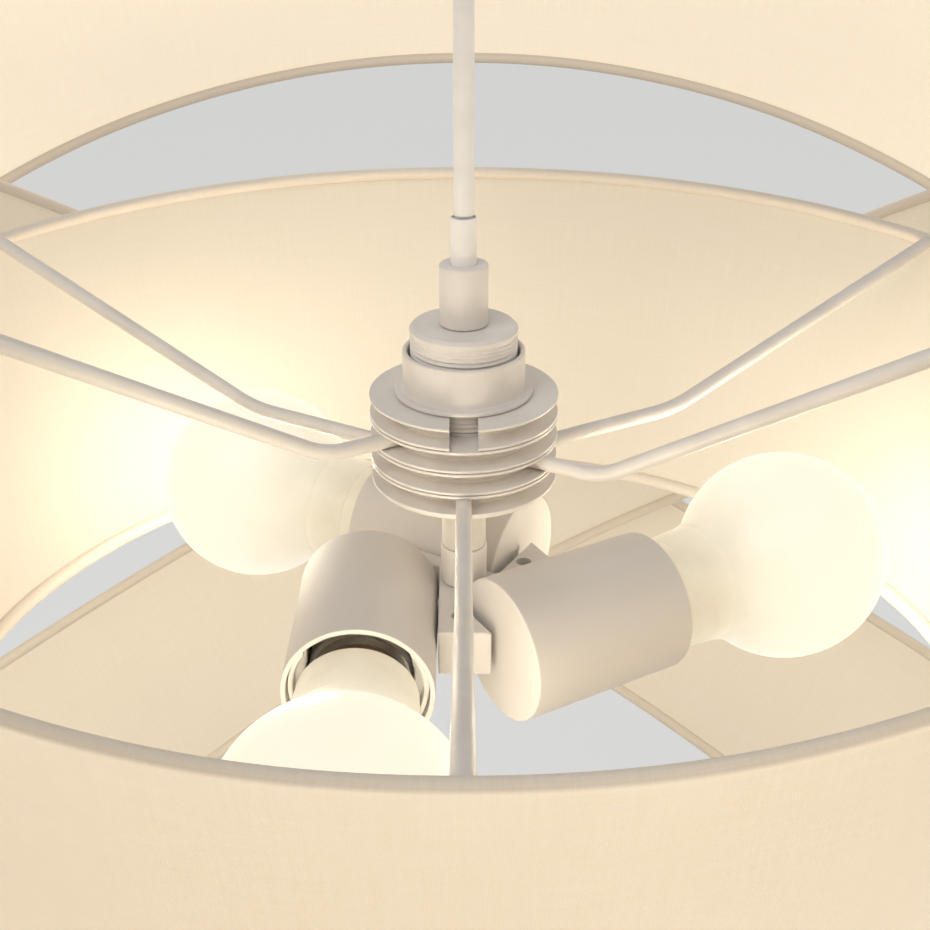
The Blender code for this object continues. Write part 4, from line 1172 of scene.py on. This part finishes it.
def globe_corners():
    """Return the globe's profile: a stepped collar, a neck that flares, and the round end."""
    start = BULB_CAP_END + FIT
    corners = [
        (0, start),
        (BULB_FOOT_RADIUS, start, 0.0002),
        (BULB_FOOT_RADIUS, 0.045, 0.0001),
        (BULB_COLLAR_RADIUS, BULB_COLLAR_START, 0.0003),
        (BULB_COLLAR_RADIUS, BULB_COLLAR_END, 0.0001),
        (BULB_COLLAR_RADIUS + 0.00025, BULB_COLLAR_END + 0.00015),
        (BULB_NECK_RADIUS, BULB_NECK_END),
        (BULB_NECK_RADIUS + 0.00025, BULB_NECK_END + 0.0003),
    ]
    join = math.radians(-42)
    end_radius = BULB_RADIUS * math.cos(join)
    end_height = BULB_CENTRE + BULB_RADIUS * math.sin(join)
    first = Vector(corners[-1])
    last = Vector((end_radius, end_height))
    reach = (last - first).length * 0.4
    lead_out = first + Vector((0.2, 1)).normalized() * reach
    lead_in = last - Vector((-math.sin(join), math.cos(join))) * reach
    for step in range(1, GLOBE_NECK_STEPS):
        share = step / GLOBE_NECK_STEPS
        rest = 1 - share
        leads = lead_out * (3 * rest**2 * share) + lead_in * (3 * rest * share**2)
        corners.append(tuple(first * rest**3 + leads + last * share**3))
    for step in range(GLOBE_END_STEPS + 1):
        turn = join + (math.pi / 2 - join) * step / GLOBE_END_STEPS
        radius = max(BULB_RADIUS * math.cos(turn), 0)
        corners.append((radius, BULB_CENTRE + BULB_RADIUS * math.sin(turn)))
    return corners


def finish_kept_nodes(looks):
    """Give better materials to the nodes whose shapes stay."""
    screws = ["clamp_screw_left", "clamp_screw_right", "canopy_grub_screw", "grip_screw"]
    kept = {
        "plastic": ["cord_clamp", "terminal_block"],
        "steel": ["ceiling_plate", *screws, "stem_nut"],
        "cord": ["cord_in_grip", "stem_cable"],
        "brass": [],
        "lead": [],
    }
    for name in ("front", "right", "left"):
        kept["steel"].append("nipple_" + name)
        kept["brass"] += ["contact_" + name, "bulb_tip_" + name]
        kept["lead"].append("lead_" + name)
    for look, nodes in kept.items():
        for node in nodes:
            item = frame["nodes"][node]
            if not item.material_slots:
                item.data.materials.append(None)
            item.material_slots[0].material = looks[look]


def light_scene():
    """Plain pale surroundings and two soft lamps."""
    world = bpy.data.worlds.new("studio")
    bpy.context.scene.world = world
    world.use_nodes = True
    tree = world.node_tree
    backdrop = tree.nodes["Background"]
    backdrop.inputs["Color"].default_value = PALE
    backdrop.inputs["Strength"].default_value = 1.0
    fill = tree.nodes.new("ShaderNodeBackground")
    fill.inputs["Color"].default_value = (0.96, 0.98, 1.0, 1)
    fill.inputs["Strength"].default_value = FILL_STRENGTH
    rays = tree.nodes.new("ShaderNodeLightPath")
    seen = rays.outputs["Is Camera Ray"]
    for ray in ("Is Glossy Ray", "Is Transmission Ray"):
        larger = tree.nodes.new("ShaderNodeMath")
        larger.operation = "MAXIMUM"
        tree.links.new(seen, larger.inputs[0])
        tree.links.new(rays.outputs[ray], larger.inputs[1])
        seen = larger.outputs[0]
    chosen = tree.nodes.new("ShaderNodeMixShader")
    tree.links.new(seen, chosen.inputs[0])
    tree.links.new(fill.outputs[0], chosen.inputs[1])
    tree.links.new(backdrop.outputs[0], chosen.inputs[2])
    tree.links.new(chosen.outputs[0], tree.nodes["World Output"].inputs[0])
    studio = (("key", (-1.1, -1.3, 1.3), KEY_POWER), ("side", (1.6, -0.4, 0.5), SIDE_POWER))
    for name, place, power in studio:
        light = bpy.data.lights.new(name, "AREA")
        light.size = STUDIO_LAMP_SIZE
        light.energy = power
        light.color = (1.0, 0.98, 0.96)
        lamp = bpy.data.objects.new(name, light)
        lamp.location = place
        aim = Vector((0, 0, -0.22)) - lamp.location
        lamp.rotation_euler = aim.to_track_quat("-Z", "Y").to_euler()
        show(lamp)


def lay_floor():
    """Lay a plain pale floor under the lamp."""
    turns = np.linspace(0, math.tau, FLOOR_SEGMENTS, endpoint=False)
    rim = [(FLOOR_RADIUS * math.cos(turn), FLOOR_RADIUS * math.sin(turn)) for turn in turns]
    mesh = lofted([[(*place, height) for place in rim] for height in (0, -FLOOR_THICKNESS)])
    mesh.materials.append(floor_finish())
    floor = bpy.data.objects.new("floor", mesh)
    floor.location = (0, 0, FLOOR_LEVEL)
    show(floor)


def main():
    """Dress the whole light and its surroundings."""
    set_camera()
    looks = {
        "paint": painted_metal(),
        "plastic": moulded_plastic("cream_plastic", (0.7, 0.665, 0.63), (0.66, 0.625, 0.59), 0.55),
        "ceramic": glazed_ceramic(),
        "steel": bare_metal("plated_steel", (0.75, 0.74, 0.72), (0.55, 0.53, 0.5), 0.28),
        "brass": bare_metal("brass", (0.8, 0.62, 0.32), (0.55, 0.4, 0.2), 0.28),
        "opal": lit_opal(),
        "lead": moulded_plastic("lead_plastic", (0.55, 0.33, 0.18), (0.42, 0.25, 0.14), 0.45),
        "cord": cord_sheath(),
    }
    cord, path = hang_cord(looks["cord"])
    fitting = dress_ceiling_fitting(looks)
    dress_hanger(looks)
    dress_hub(looks)
    dress_shades(looks)
    dress_bracket(looks)
    for name, azimuth in zip(("front", "right", "left"), THREE_WAYS):
        dress_holder(looks, name, azimuth)
    finish_kept_nodes(looks)
    light_scene()
    lay_floor()
    bpy.context.scene.view_settings.view_transform = "Standard"


main()
